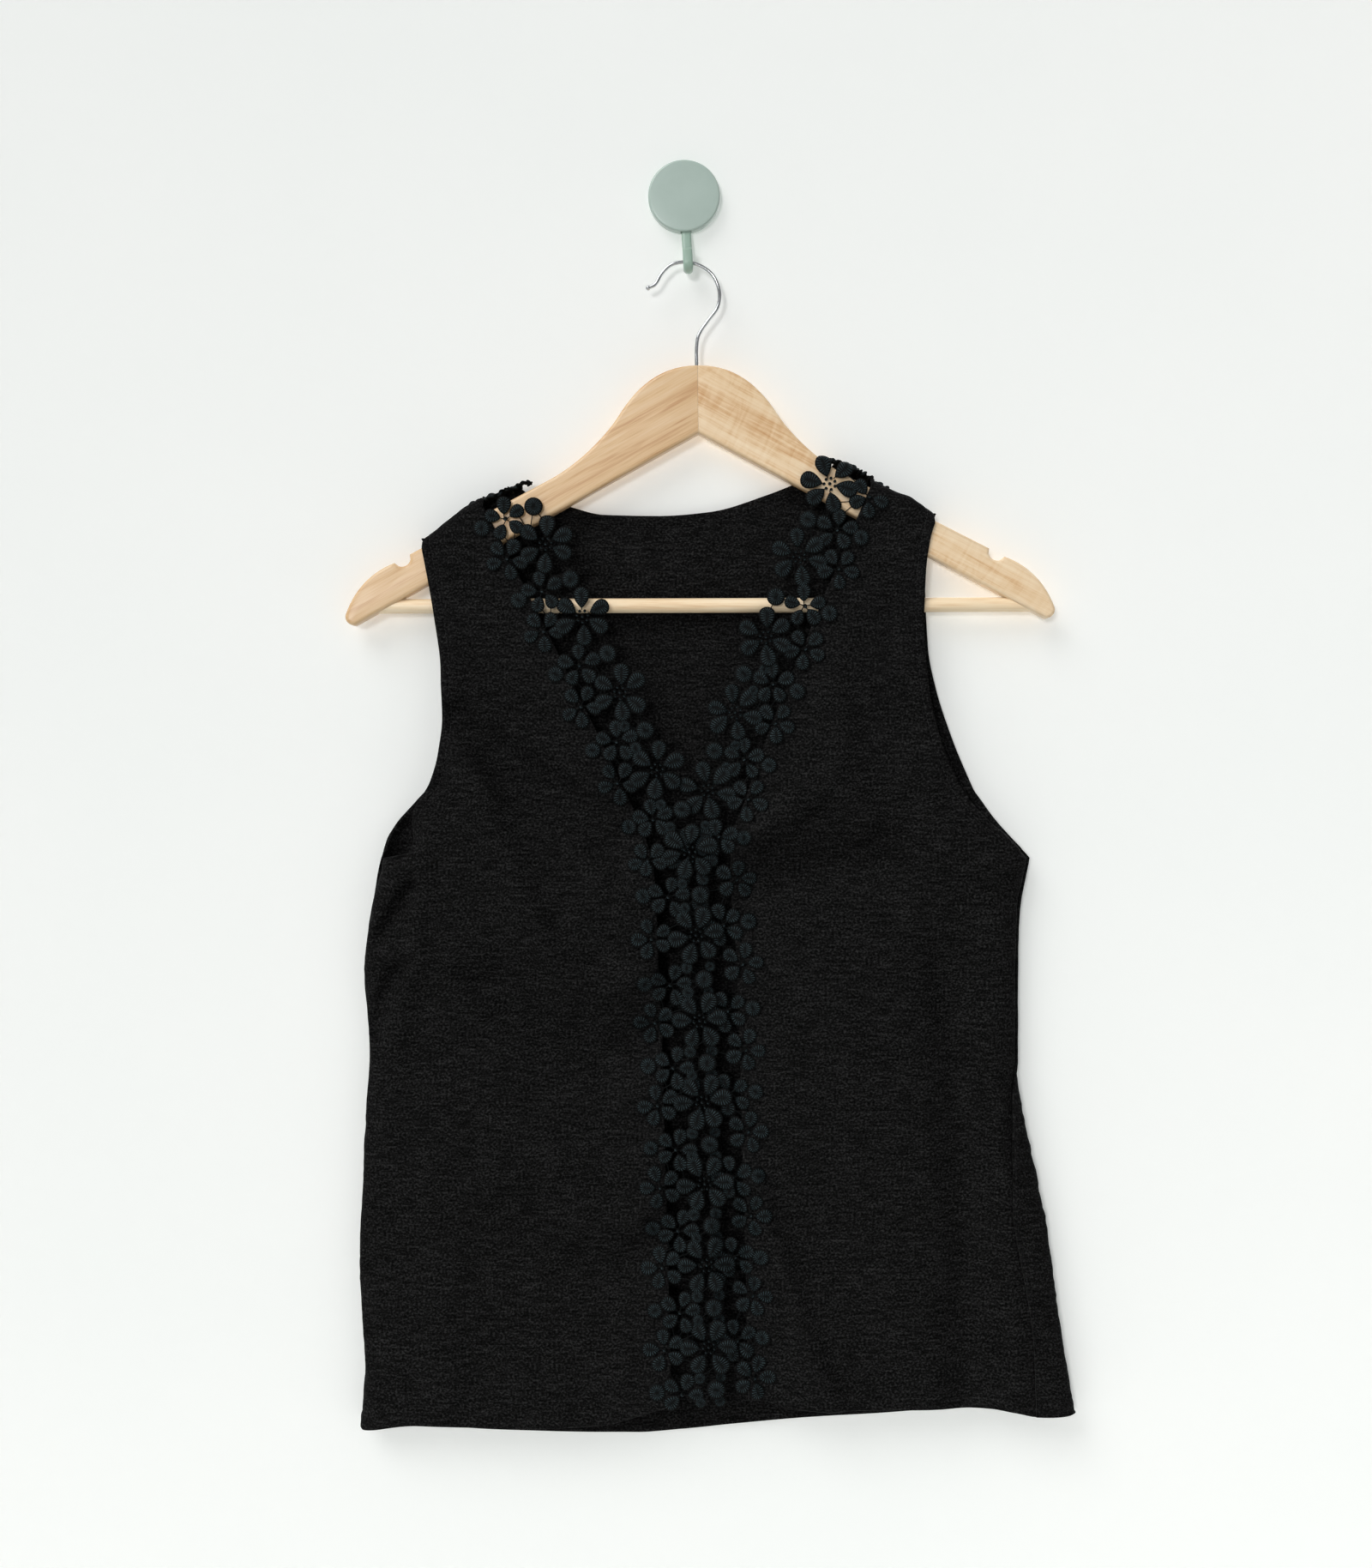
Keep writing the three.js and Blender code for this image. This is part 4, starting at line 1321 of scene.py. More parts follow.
@dataclass
class FrontPanel(Panel):
    """One front, from the trim's sewn edge round to the side seam."""

    side: Side = Side.LEFT
    pitch_mm: float = 2.0
    fine_mm: float = 1.1
    lap_columns: int = 6
    columns: int = 69

    def lattice(self) -> Lattice:
        """Lays the front out from its edge under the trim to the side seam."""
        form, sign = self.form, self.side.value
        rows = Rows.spaced(self.pitch_mm, self.fine_mm)
        end = form.row_end(self.side, rows, True)
        under = form.trim_line(self.side, rows, form.trim_cloth)
        sewn = form.trim_line(self.side, rows, form.trim_sewn)
        ahead = np.maximum(end.swing, 0.0) + end.bend
        bend_start = sign * (end.out - ahead)
        lap = np.linspace(0, 1, self.lap_columns + 1)[None, :-1]
        flat = np.linspace(0, 1, self.columns)[None, :]
        x = np.concatenate([mix(under, sewn, lap), mix(sewn, bend_start, flat)], axis=1)
        x, depth, z = np.broadcast_arrays(*form.front_point(rows, x))
        steps = int(end.bend / self.fine_mm)
        share = np.linspace(0, 1, steps + 1)[None, 1:]
        round_side = form.bend(rows, end, mix(ahead, end.swing - end.overlap, share))
        x, depth, z = (np.concatenate(pair, axis=1) for pair in zip((x, depth, z), round_side))
        places = np.stack([x, -depth, z], axis=-1) * MM
        run = run_along(places)
        u = x[:, :1] + sign * run
        v = z + np.where(rows.at_shoulder, form.over_shoulder(rows), 0)
        armhole, seam = self._distances(end, run[:, -1:] - run, z, slope_of(end.out, z[:, -1:]))
        no_neck = np.full_like(z, NOWHERE_NEAR)
        return Lattice(places, np.stack([u, v], axis=-1), z - form.front_hem(x), armhole, no_neck, seam)


@dataclass
class BackPanel(Panel):
    """The back, from side seam to side seam."""

    pitch_mm: float = 2.6
    fine_mm: float = 1.3
    columns: int = 133
    wrap_mm: float = 12.0
    wrap_pitch: float = 1.3
    shoulder_from: float = 90.0

    def lattice(self) -> Lattice:
        """Lays the back out from the left side seam to the right one."""
        form = self.form
        rows = Rows.spaced(self.pitch_mm, self.fine_mm)
        bends, starts, ends = {}, {}, {}
        for side in Side:
            end = form.row_end(side, rows, False)
            steps = int((end.bend + self.wrap_mm) / (self.wrap_pitch * self.fine_mm))
            girth = mix(-end.bend, end.swing + end.overlap, np.linspace(0, 1, steps + 1)[None, 1:])
            bends[side] = form.bend(rows, end, girth)
            starts[side], ends[side] = side.value * (end.out - end.bend), end
        across = np.linspace(0, 1, self.columns)[None, :]
        flat = np.broadcast_arrays(*form.back_point(rows, mix(starts[Side.LEFT], starts[Side.RIGHT], across)))
        left = [value[:, ::-1] for value in bends[Side.LEFT]]
        x, depth, z = (np.concatenate(parts, axis=1) for parts in zip(left, flat, bends[Side.RIGHT]))
        places = np.stack([x, -depth, z], axis=-1) * MM
        run = run_along(places)
        middle = x.shape[1] // 2
        u = x[:, middle : middle + 1] + run - run[:, middle : middle + 1]
        v = z + np.where(rows.at_shoulder & (np.abs(x) > self.shoulder_from), form.over_shoulder(rows), 0)
        armhole, seam = np.full_like(z, NOWHERE_NEAR), np.full_like(z, NOWHERE_NEAR)
        for side, girth, edge in ((Side.LEFT, run, z[:, :1]), (Side.RIGHT, run[:, -1:] - run, z[:, -1:])):
            side_arm, side_seam = self._distances(ends[side], girth, z, slope_of(ends[side].out, edge))
            armhole, seam = np.minimum(armhole, side_arm), np.minimum(seam, side_seam)
        on_neck = (x > 1 - form.neck_point[Side.LEFT]) & (x < form.neck_point[Side.RIGHT] - 1)
        top = form.back_neck(x)
        slope = form.back_neck(x + 1) - top
        neck = np.where(on_neck, (top - z) / np.hypot(1, slope), NOWHERE_NEAR)
        return Lattice(places, np.stack([u, v], axis=-1), z - form.back_hem(x), armhole, neck, seam)


@dataclass
class Stitching:
    """Rows of machine stitches, each a small mound of thread."""

    name: str
    paths: Sequence[Array]
    pitch_mm: float = 2.6
    stitch_mm: Triple = (2.0, 0.42, 0.34)

    def build(self, material: Material) -> Object:
        """Builds the stitches along their paths and returns the piece."""
        template = bmesh.new()
        bmesh.ops.create_icosphere(template, subdivisions=1, radius=0.5)
        bmesh.ops.scale(template, vec=[s * MM for s in self.stitch_mm], verts=template.verts)
        one = mesh_of(template, "one_stitch")
        bm = bmesh.new()
        for path in self.paths:
            run = run_along(path[:, :3])
            for at in np.arange(self.pitch_mm / 2, run[-1], self.pitch_mm):
                here = [np.interp(at, run, path[:, k]) for k in range(6)]
                ahead = [np.interp(at + 1, run, path[:, k]) for k in range(3)]
                place, out = Vector(here[:3]), Vector(here[3:]).normalized()
                along = (Vector(ahead) - place).normalized()
                if along.length < 0.5:
                    continue  # the path ends here
                beside = out.cross(along).normalized()
                turn = Matrix((along, beside, out)).transposed().to_4x4()
                add_copy(bm, one, Matrix.Translation(place) @ turn)
        bpy.data.meshes.remove(one)
        return finish_piece(self.name, mesh_of(bm, self.name), material, (), None)


# --- the lace


@dataclass(frozen=True)
class PadShape:
    """One padded shape of the lace, in mm."""

    length: float
    width: float
    point: float
    height: float
    sides: int
    ribs: int

    CROWN = ((-0.06, 0.42), (0.22, 0.86), (0.62, 1.0), (1.0, 0.9))  # each ring's shares: how far in, how high

    def mesh(self, name: str) -> Mesh:
        """Builds the pad flat, its point towards -x: a rim, a short wall and a crown that rises to a midline.

        Args:
            name: The mesh's name.

        Returns:
            The pad, in mm.
        """
        bm = bmesh.new()
        count = bm.verts.layers.float.new("count")
        ring = bm.verts.layers.float.new("ring")
        ribs = bm.loops.layers.uv.new("ribs")
        bmesh.ops.create_circle(bm, cap_ends=True, segments=self.sides, radius=1.0)
        for vert in bm.verts:
            angle = math.atan2(vert.co.y, vert.co.x) % FULL
            vert[count] = int(angle / FULL * self.sides + 1e-4) % self.sides
            vert[ring] = 1.0
            narrow = 1.28 * (0.5 + 0.5 * math.cos(angle) + 1e-3) ** 0.42
            wide = mix(1.0, narrow, self.point)
            vert.co = Vector((vert.co.x * self.length / 2, vert.co.y * self.width / 2 * wide, 0))
        rim = {vert[count]: vert.co.copy() for vert in bm.verts}
        edges = list(bm.edges)
        midline = mix(0.12, 0.5, self.point)
        for inward, rise in self.CROWN:
            made = bmesh.ops.extrude_edge_only(bm, edges=edges)["geom"]
            for vert in (g for g in made if isinstance(g, BMVert)):
                start = rim[vert[count]]
                middle = Vector((start.x * midline, 0, 0))
                vert.co = start.lerp(middle, inward)
                vert.co.z = rise * self.height
                vert[ring] = 1 - max(0.0, inward)
            edges = [g for g in made if isinstance(g, BMEdge)]
        for face in bm.faces:
            wraps = max(v[count] for v in face.verts) - min(v[count] for v in face.verts) > self.sides / 2
            for loop in face.loops:
                turn = loop.vert[count] + (self.sides if wraps and loop.vert[count] == 0 else 0)
                loop[ribs].uv = (turn * self.ribs / self.sides, loop.vert[ring])
        bmesh.ops.remove_doubles(bm, verts=bm.verts, dist=0.01)
        bmesh.ops.dissolve_degenerate(bm, dist=0.005, edges=bm.edges)
        bmesh.ops.recalc_face_normals(bm, faces=bm.faces)
        return mesh_of(bm, name)


@dataclass(frozen=True)
class Placement:
    """A pad's place in the trim laid flat: along it, across it towards the cloth, its turn and its scale."""

    pad: Pad
    along: float
    across: float
    turn: float
    scale: float
    group: int


@dataclass
class LaceTrim:
    """A guipure trim: large and small flowers and discs, joined by threads, laid down the neck and the front."""

    form: BlouseForm
    side: Side
    seed: int
    flowers: tuple[float, ...]
    stacked: tuple[float, ...]
    rolled_mm: Pair
    pads: dict[Pad, PadShape] = field(
        default_factory=lambda: {
            Pad.PETAL: PadShape(13.6, 9.9, 1.0, 1.55, 18, 22),
            Pad.SMALL_PETAL: PadShape(10.4, 8.6, 0.75, 1.3, 16, 17),
            Pad.DISC: PadShape(11.0, 11.0, 0.0, 1.5, 18, 20),
            Pad.SMALL_DISC: PadShape(10.2, 10.2, 0.0, 1.3, 16, 18),
            Pad.KNOT: PadShape(2.0, 2.0, 0.0, 1.7, 7, 1),
        }
    )
    petal_reach: float = 11.4
    small_reach: float = 8.2
    knot_reach: float = 3.6
    disc_share: float = 0.525
    disc_across: float = -3.7
    edge_disc: Pair = (0.47, 31.1)
    small_flowers: tuple[Triple, ...] = ((0.5, 15.3, 0.96), (-0.05, 25.6, 0.33))
    gap_discs: tuple[Pair, ...] = ((0.38, 7.0), (0.67, 6.4))
    first_gap: int = 3
    stacked_scale: float = 0.8
    low_drift: Pair = (0.07, 2.0)
    drift_between: Pair = (-395.0, -440.0)
    bottom: float = -760.5
    lift_mm: float = 0.35
    thread_mm: float = 0.34
    thread_lift_mm: float = 0.55
    thread_gap_mm: Pair = (0.4, 6.5)
    most_threads: int = 3
    roll_pitch_mm: float = 2.3
    roll_rows_mm: Pair = (1.4, -1.2)
    cut_below_mm: float = 3.5

    def __post_init__(self) -> None:
        """Measures the line of flowers every half millimetre: x and z along it, and its length so far."""
        self.line_z = np.linspace(-130, -800, 1341)
        self.line_x = self.form.flower_line[self.side](self.line_z)
        step = np.hypot(np.diff(self.line_x), np.diff(self.line_z))
        self.arc = np.concatenate([[0], np.cumsum(step)])

    def _along(self, heights: Sequence[float]) -> Array:
        """How far along the line of flowers each height is."""
        return np.interp([-height for height in heights], -self.line_z, self.arc)

    def _frame(self, along: float, across: float) -> Matrix:
        """Finds where a place of the flat trim lies as seen from the front.

        Args:
            along: How far along the line of flowers it is.
            across: How far beside the line it is, towards the cloth.

        Returns:
            A matrix from the trim's own axes at that place to x, z and lift.
        """
        near = np.array([along - 2, along, along + 2])
        x, z = np.interp(near, self.arc, self.line_x), np.interp(near, self.arc, self.line_z)
        ahead = Vector((x[2] - x[0], z[2] - z[0], 0)).normalized()
        aside = self.side.value * Vector((-ahead.y, ahead.x, 0))
        frame = Matrix((ahead, aside, Vector((0, 0, 1)))).transposed().to_4x4()
        frame.translation = Vector((x[1], z[1], 0)) + aside * across
        return frame

    def _flower(
        self,
        source: random.Random,
        pad: Pad,
        at: Pair,
        petals: int,
        reach: float,
        turn: float,
        group: int,
    ) -> list[Placement]:
        """Sets petals round a middle.

        Args:
            source: Where the small differences come from.
            pad: The petals' shape.
            at: The flower's middle, along and across.
            petals: How many petals it has.
            reach: Distance from the middle to a petal's middle.
            turn: The first petal's direction.
            group: The flower's number.

        Returns:
            The petals' places.
        """
        places = []
        for i in range(petals):
            angle = turn + FULL * i / petals + source.uniform(-0.11, 0.11)
            far = reach * source.uniform(0.94, 1.06)
            along, across = at[0] + far * math.cos(angle), at[1] + far * math.sin(angle)
            aim, scale = angle + source.uniform(-0.1, 0.1), source.uniform(0.93, 1.05)
            places.append(Placement(pad, along, across, aim, scale, group))
        return places

    def _large_flower(self, source: random.Random, middle: float, alone: bool, group: int) -> list[Placement]:
        """Sets six petals round a ring of knots.

        Args:
            source: Where the small differences come from.
            middle: How far along the trim it is.
            alone: Whether it lies clear of the other trim's flowers; one that covers them is smaller.
            group: The flower's number.

        Returns:
            The places of its petals and knots.
        """
        tilt = math.pi / 6 + source.uniform(-0.12, 0.12) * (1 if alone else 0.3)
        places = self._flower(source, Pad.PETAL, (middle, 0.0), 6, self.petal_reach, tilt, group)
        if not alone:
            places = [replace(petal, scale=self.stacked_scale) for petal in places]
        knots, far = 7, self.knot_reach
        for k in range(knots):
            angle = tilt + FULL * k / knots
            place = (middle + far * math.cos(angle), far * math.sin(angle))
            places.append(Placement(Pad.KNOT, *place, 0.0, 1.0, group))
        places.append(Placement(Pad.KNOT, middle, 0.0, 0.0, 1.1, group))
        return places

    def chart(self) -> list[Placement]:
        """Charts the trim flat: its repeat is a large flower, two small ones and two discs.

        Returns:
            The places of the pads that lie between the shoulder seam and the trim's end.
        """
        source, group = random.Random(self.seed), itertools.count(1)
        marks, stacks = (
            np.concatenate([[2 * row[0] - row[1]], row]) for row in map(self._along, (self.flowers, self.stacked))
        )
        pitches = np.append(np.diff(marks), marks[-1] - marks[-2])
        places: list[Placement] = []
        for start, middle, pitch in zip(marks, stacks, pitches):
            alone = middle == start
            places += self._large_flower(source, middle, alone, next(group))
            disc_at = (middle + self.disc_share * pitch, self.disc_across if alone else -self.disc_across)
            places.append(Placement(Pad.DISC, *disc_at, source.uniform(0, 3), 1.0, next(group)))
            for share, across in self.gap_discs if start >= marks[self.first_gap] else ():
                place = (middle + share * pitch, across + source.uniform(-0.8, 0.8))
                turn, scale = source.uniform(0, 3), source.uniform(0.66, 0.8)
                places.append(Placement(Pad.SMALL_DISC, *place, turn, scale, next(group)))
            low = float(ease(start, *self._along(self.drift_between)))
            further, wider = (low * drift for drift in self.low_drift)
            share, across = self.edge_disc
            place = (start + (share + further) * pitch, across + wider)
            turn, scale = source.uniform(0, 3), source.uniform(0.92, 1.02)
            places.append(Placement(Pad.SMALL_DISC, *place, turn, scale, next(group)))
            for share, across, turn in self.small_flowers:
                number = next(group)
                place = (start + (share + further) * pitch, across + wider)
                turn += source.uniform(-0.12, 0.12)
                places += self._flower(source, Pad.SMALL_PETAL, place, 5, self.small_reach, turn, number)
                places.append(Placement(Pad.KNOT, *place, 0.0, 1.4, number))
        end = self._along((self.bottom,))[0]
        return [place for place in places if place.along + self._reach(place) < end and self._below_seam(place)]

    def _below_seam(self, place: Placement) -> bool:
        """Whether a pad lies below the shoulder seam, where the trim is cut and sewn in."""
        x, z, _ = self._frame(place.along, place.across).translation
        return z < float(self.form.seam_height(x)) - self.cut_below_mm

    def _reach(self, place: Placement) -> float:
        """A pad's half length."""
        return self.pads[place.pad].length * place.scale / 2

    def _threads(self, places: list[Placement]) -> list[tuple[Vector, Vector]]:
        """Finds the threads that join neighbouring pads, and each petal to its flower's knots.

        Args:
            places: The charted pads.

        Returns:
            Each thread's two ends, along and across.
        """
        threads = []
        joined = [0] * len(places)
        closest, furthest = self.thread_gap_mm
        rim, inside = 0.9, 0.6
        for i, one in enumerate(places):
            if one.pad is Pad.KNOT:
                continue
            here = Vector((one.along, one.across))
            if one.pad in (Pad.PETAL, Pad.SMALL_PETAL):
                inner = self.petal_reach - self.knot_reach if one.pad is Pad.PETAL else self.small_reach
                threads.append((here - Vector((math.cos(one.turn), math.sin(one.turn))) * inner, here))
            for j, other in enumerate(places[i + 1 :], i + 1):
                if other.pad is Pad.KNOT or other.group == one.group:
                    continue
                there = Vector((other.along, other.across))
                apart = there - here
                gap = apart.length - self._reach(one) * rim - self._reach(other) * rim
                if closest < gap < furthest and max(joined[i], joined[j]) < self.most_threads:
                    joined[i] += 1
                    joined[j] += 1
                    ahead = apart.normalized()
                    start = here + ahead * self._reach(one) * inside
                    threads.append((start, there - ahead * self._reach(other) * inside))
        return threads

    def build(self, material: Material) -> Object:
        """Builds the trim.

        Args:
            material: The lace's thread.

        Returns:
            The piece.
        """
        source = random.Random(self.seed + 100)
        meshes = {pad: shape.mesh(pad.value) for pad, shape in self.pads.items()}
        places = self.chart()
        bm = bmesh.new()
        for place in places:
            tilts = [source.uniform(-0.09, 0.09) for _ in range(2)]
            tilt = Euler((*tilts, place.turn)).to_matrix().to_4x4()
            raised = Matrix.Translation((0, 0, source.uniform(0.0, 0.45)))
            size = Matrix.Diagonal((place.scale, place.scale, 1.0, 1.0))
            add_copy(bm, meshes[place.pad], self._frame(place.along, place.across) @ raised @ tilt @ size)
        for start, finish in self._threads(places):
            self._thread(bm, start, finish)
        mesh = mesh_of(bm, f"guipure_{self.side.label}")
        x, z, lift = places_of(mesh).T
        line = self.form.flower_line[self.side]
        across = self.side.value * (x - line(z)) / np.hypot(1, line(z + 1) - line(z))
        set_places(mesh, self.form.lay_trim(self.side, x, z, across, lift + self.lift_mm))
        if self.side is Side.LEFT:
            mesh.flip_normals()
        bm = bmesh.new()
        bm.from_mesh(mesh)
        self._roll_end(bm, meshes[Pad.SMALL_DISC], source)
        bm.to_mesh(mesh)
        bm.free()
        for other in meshes.values():
            bpy.data.meshes.remove(other)
        return finish_piece(mesh.name, mesh, material, [f"lace_{self.side.label}"], 60.0)

    def _roll_end(self, bm: BMesh, pad: Mesh, source: random.Random) -> None:
        """Crowds small lumps along the shoulder seam, where the end of the trim is rolled over and sewn in.

        Args:
            bm: The trim, in metres and in place.
            pad: The mesh of a lump.
            source: Where the small differences come from.
        """
        for out in np.arange(*self.rolled_mm, self.roll_pitch_mm):
            for ahead in self.roll_rows_mm:
                x = self.side.value * (out + source.uniform(-0.6, 0.6))
                z = float(self.form.seam_height(x)) + source.uniform(-1.2, 0.2)
                depth = self.form.hanger_depth + ahead + source.uniform(-0.5, 0.5)
                turn = Euler([source.uniform(-0.9, 0.9) for _ in range(3)]).to_matrix().to_4x4()
                wide, high = source.uniform(0.4, 0.54), source.uniform(0.8, 1.2)
                size = Matrix.Diagonal((wide * MM, wide * MM, high * MM, 1.0))
                add_copy(bm, pad, Matrix.Translation((x * MM, -depth * MM, z * MM)) @ turn @ size)

    def _thread(self, bm: BMesh, start: Vector, finish: Vector) -> None:
        """Adds one thread, unless it would pass the shoulder seam.

        Args:
            bm: The trim as seen from the front, in mm.
            start: The thread's one end, along and across.
            finish: Its other end.
        """
        raised = Vector((0, 0, self.thread_lift_mm))
        first, last = (self._frame(*end) @ raised for end in (start, finish))
        if any(end.y > float(self.form.seam_height(end.x)) for end in (first, last)):
            return
        run = last - first
        bmesh.ops.create_cone(
            bm,
            cap_ends=True,
            segments=5,
            radius1=self.thread_mm,
            radius2=self.thread_mm,
            depth=run.length,
            matrix=Matrix.Translation((first + last) / 2) @ run.to_track_quat("Z", "Y").to_matrix().to_4x4(),
        )


# --- the hanger


def bezier(*corners: Pair, steps: int = 14) -> list[Pair]:
    """Draws a Bezier curve.

    Args:
        corners: The corners that pull the curve, its two ends among them.
        steps: How many steps it has.

    Returns:
        Points along it, without its first.
    """
    points = []
    for k in range(1, steps + 1):
        t, layer = k / steps, list(corners)
        while len(layer) > 1:
            layer = [(mix(a[0], b[0], t), mix(a[1], b[1], t)) for a, b in zip(layer, layer[1:])]
        points.append(layer[0])
    return points


def arc_points(centre: Pair, radius: float, start: float, finish: float, steps: int = 14) -> list[Pair]:
    """Draws an arc.

    Args:
        centre: Its centre.
        radius: Its radius.
        start: The angle it starts at, in degrees.
        finish: The angle it ends at.
        steps: How many steps it has.

    Returns:
        Points along it.
    """
    angles = [math.radians(mix(start, finish, k / steps)) for k in range(steps + 1)]
    return [(centre[0] + radius * math.cos(a), centre[1] + radius * math.sin(a)) for a in angles]


def rounded_slab(outline: Sequence[Vector], thickness: Vector, rounding: float, steps: int = 5) -> BMesh:
    """Raises a slab from an outline and rounds its two rims.

    Args:
        outline: Its corners, in order, on the plane in its middle.
        thickness: From its one face to its other.
        rounding: The radius of its rims.
        steps: How many steps round a rim.

    Returns:
        The slab.
    """
    bm = bmesh.new()
    flat = thickness * (1 - 2 * rounding / thickness.length)
    face = bm.faces.new([bm.verts.new(point - flat / 2) for point in outline])
    made = bmesh.ops.extrude_face_region(bm, geom=[face])["geom"]
    bmesh.ops.translate(bm, vec=flat, verts=[g for g in made if isinstance(g, BMVert)])
    bmesh.ops.recalc_face_normals(bm, faces=bm.faces)
    bm.faces.ensure_lookup_table()
    caps = sorted(bm.faces, key=lambda f: len(f.verts))[-2:]
    for k in range(steps):
        before, after = QUARTER * k / steps, QUARTER * (k + 1) / steps
        for cap in caps:
            bmesh.ops.inset_region(
                bm,
                faces=[cap],
                thickness=rounding * (math.cos(before) - math.cos(after)),
                depth=rounding * (math.sin(after) - math.sin(before)),
                use_even_offset=True,
                use_boundary=True,
            )
    return bm


@dataclass
class WoodenHanger:
    """A flat hanger of two mitred arms with strap notches, and a round bar between them."""

    span: float = 445.0
    thickness: float = 12.0
    depth: float = 14.0
    apex: Pair = (8.4, -109.1)
    tilt: float = 0.6
    rounding: float = 2.4
    mitre: float = 42.6
    tip_drop: float = 160.3
    notch: Triple = (186.1, 118.4, 5.5)
    tip_blunt: float = 7.0
    bar_diameter: float = 9.2
    bar_drop: float = 149.8
    bar_lean: float = 1.5
    bar_share: float = 0.44
    bar_gap: float = 0.05
    glue_gap: float = 0.06
    arm_slope: float = 28.6
    cuts: dict[Side, tuple[float, str, str, str]] = each_side(
        (0.0, "#dabf9a", "#d1ae82", "#b07e4b"),
        (0.35, "#ead4b4", "#dfc199", "#c2915c"),
    )

    def _stand(self) -> Matrix:
        """Moves the upright hanger, drawn round its apex, to where it hangs."""
        turn = Matrix.Rotation(-math.radians(self.tilt), 4, "Y")
        return Matrix.Translation((self.apex[0] * MM, 0, self.apex[1] * MM)) @ turn

    def _outline(self, side: Side) -> list[Pair]:
        """Draws one arm from beyond the mitre round by its tip.

        Args:
            side: The arm's side.

        Returns:
            Its corners as x and z from the apex.
        """
        beyond, half, foot = -2 * self.rounding, self.span / 2, -self.tip_drop
        out, drop, radius = self.notch
        points = [(beyond, 0.0), (0.0, 0.0)]
        points += bezier((0, 0), (24, 0), (38.5, -13.5), (49.9, -31.3))
        points += bezier((49.9, -31.3), (57.9, -43.8), (75.1, -61), (93.1, -70.4))
        notch = arc_points((out, -drop), radius, 157, 326)
        points += [notch[0], *notch[3:-3], notch[-1]]  # long first steps leave its sharp lips room to be rounded
        points += bezier(points[-1], (213, -130), (half - 1, foot + 7))
        points += bezier(points[-1], (half, foot + 4), (half - 2, foot), (half - self.tip_blunt, foot))
        points += [(0.0, -self.mitre), (beyond, -self.mitre)]
        return [(side.value * x, z) for x, z in points]

    def _arm(self, side: Side) -> Mesh:
        """Builds one arm, rounded along its rims and cut square at the mitre.

        Args:
            side: The arm's side.

        Returns:
            The arm.
        """
        outline = millimetres((x, self.depth, z) for x, z in self._outline(side))
        bm = rounded_slab(outline, Vector((0, self.thickness * MM, 0)), self.rounding * MM)
        bmesh.ops.bisect_plane(
            bm,
            geom=[*bm.verts, *bm.edges, *bm.faces],
            plane_co=(side.value * self.glue_gap * MM, 0, 0),
            plane_no=(-side.value, 0, 0),
            clear_outer=True,
        )
        bmesh.ops.holes_fill(bm, edges=[e for e in bm.edges if e.is_boundary])
        bmesh.ops.triangulate(bm, faces=[f for f in bm.faces if len(f.verts) > 4])
        bmesh.ops.transform(bm, matrix=self._stand(), verts=bm.verts)
        bmesh.ops.recalc_face_normals(bm, faces=bm.faces)
        return mesh_of(bm, f"wood_arm_{side.label}")

    def _bar(self) -> Mesh:
        """Builds the bar, its ends cut to the undersides of the arms.

        Returns:
            The bar.
        """
        bm = bmesh.new()
        lean = math.atan2(self.bar_lean, self.span * self.bar_share)
        middle = Matrix.Translation((0, -self.depth * MM, -self.bar_drop * MM))
        bmesh.ops.create_cone(
            bm,
            cap_ends=True,
            segments=32,
            radius1=self.bar_diameter / 2 * MM,
            radius2=self.bar_diameter / 2 * MM,
            depth=2 * self.span * MM,
            matrix=middle @ Matrix.Rotation(QUARTER + lean, 4, "Y"),
        )
        run, rise = self.span / 2 - self.tip_blunt, self.tip_drop - self.mitre
        for side in Side:
            bmesh.ops.bisect_plane(
                bm,
                geom=[*bm.verts, *bm.edges, *bm.faces],
                plane_co=(0, 0, (self.bar_gap - self.mitre) * MM),
                plane_no=(side.value * rise, 0, run),
                clear_outer=True,
            )
            bmesh.ops.holes_fill(bm, edges=[e for e in bm.edges if e.is_boundary])
        bmesh.ops.transform(bm, matrix=self._stand(), verts=bm.verts)
        bmesh.ops.recalc_face_normals(bm, faces=bm.faces)
        return mesh_of(bm, "wood_bar")

    def build(self) -> None:
        """Builds the arms and the bar in their own cuts of wood."""
        for side in Side:
            wood = VarnishedWood(
                f"varnished_wood_{side.label}",
                (self.apex[0] + side.value * 20, 31 * side.value, self.apex[1]),
                side.value * self.arm_slope - self.tilt,
                *self.cuts[side],
            )
            name = f"hanger_arm_{side.label}"
            finish_piece(f"wood_arm_{side.label}", self._arm(side), wood.material(), [name], 30.0)
        tones = {"pale": "#f7e6ca", "body": "#f0d8b4", "dark": "#dfb98c"}
        rod = VarnishedWood("varnished_wood_bar", (0, 70, -260), 0.8, **tones)
        finish_piece("wood_bar", self._bar(), rod.material(), ["hanger_bar"], 30.0)


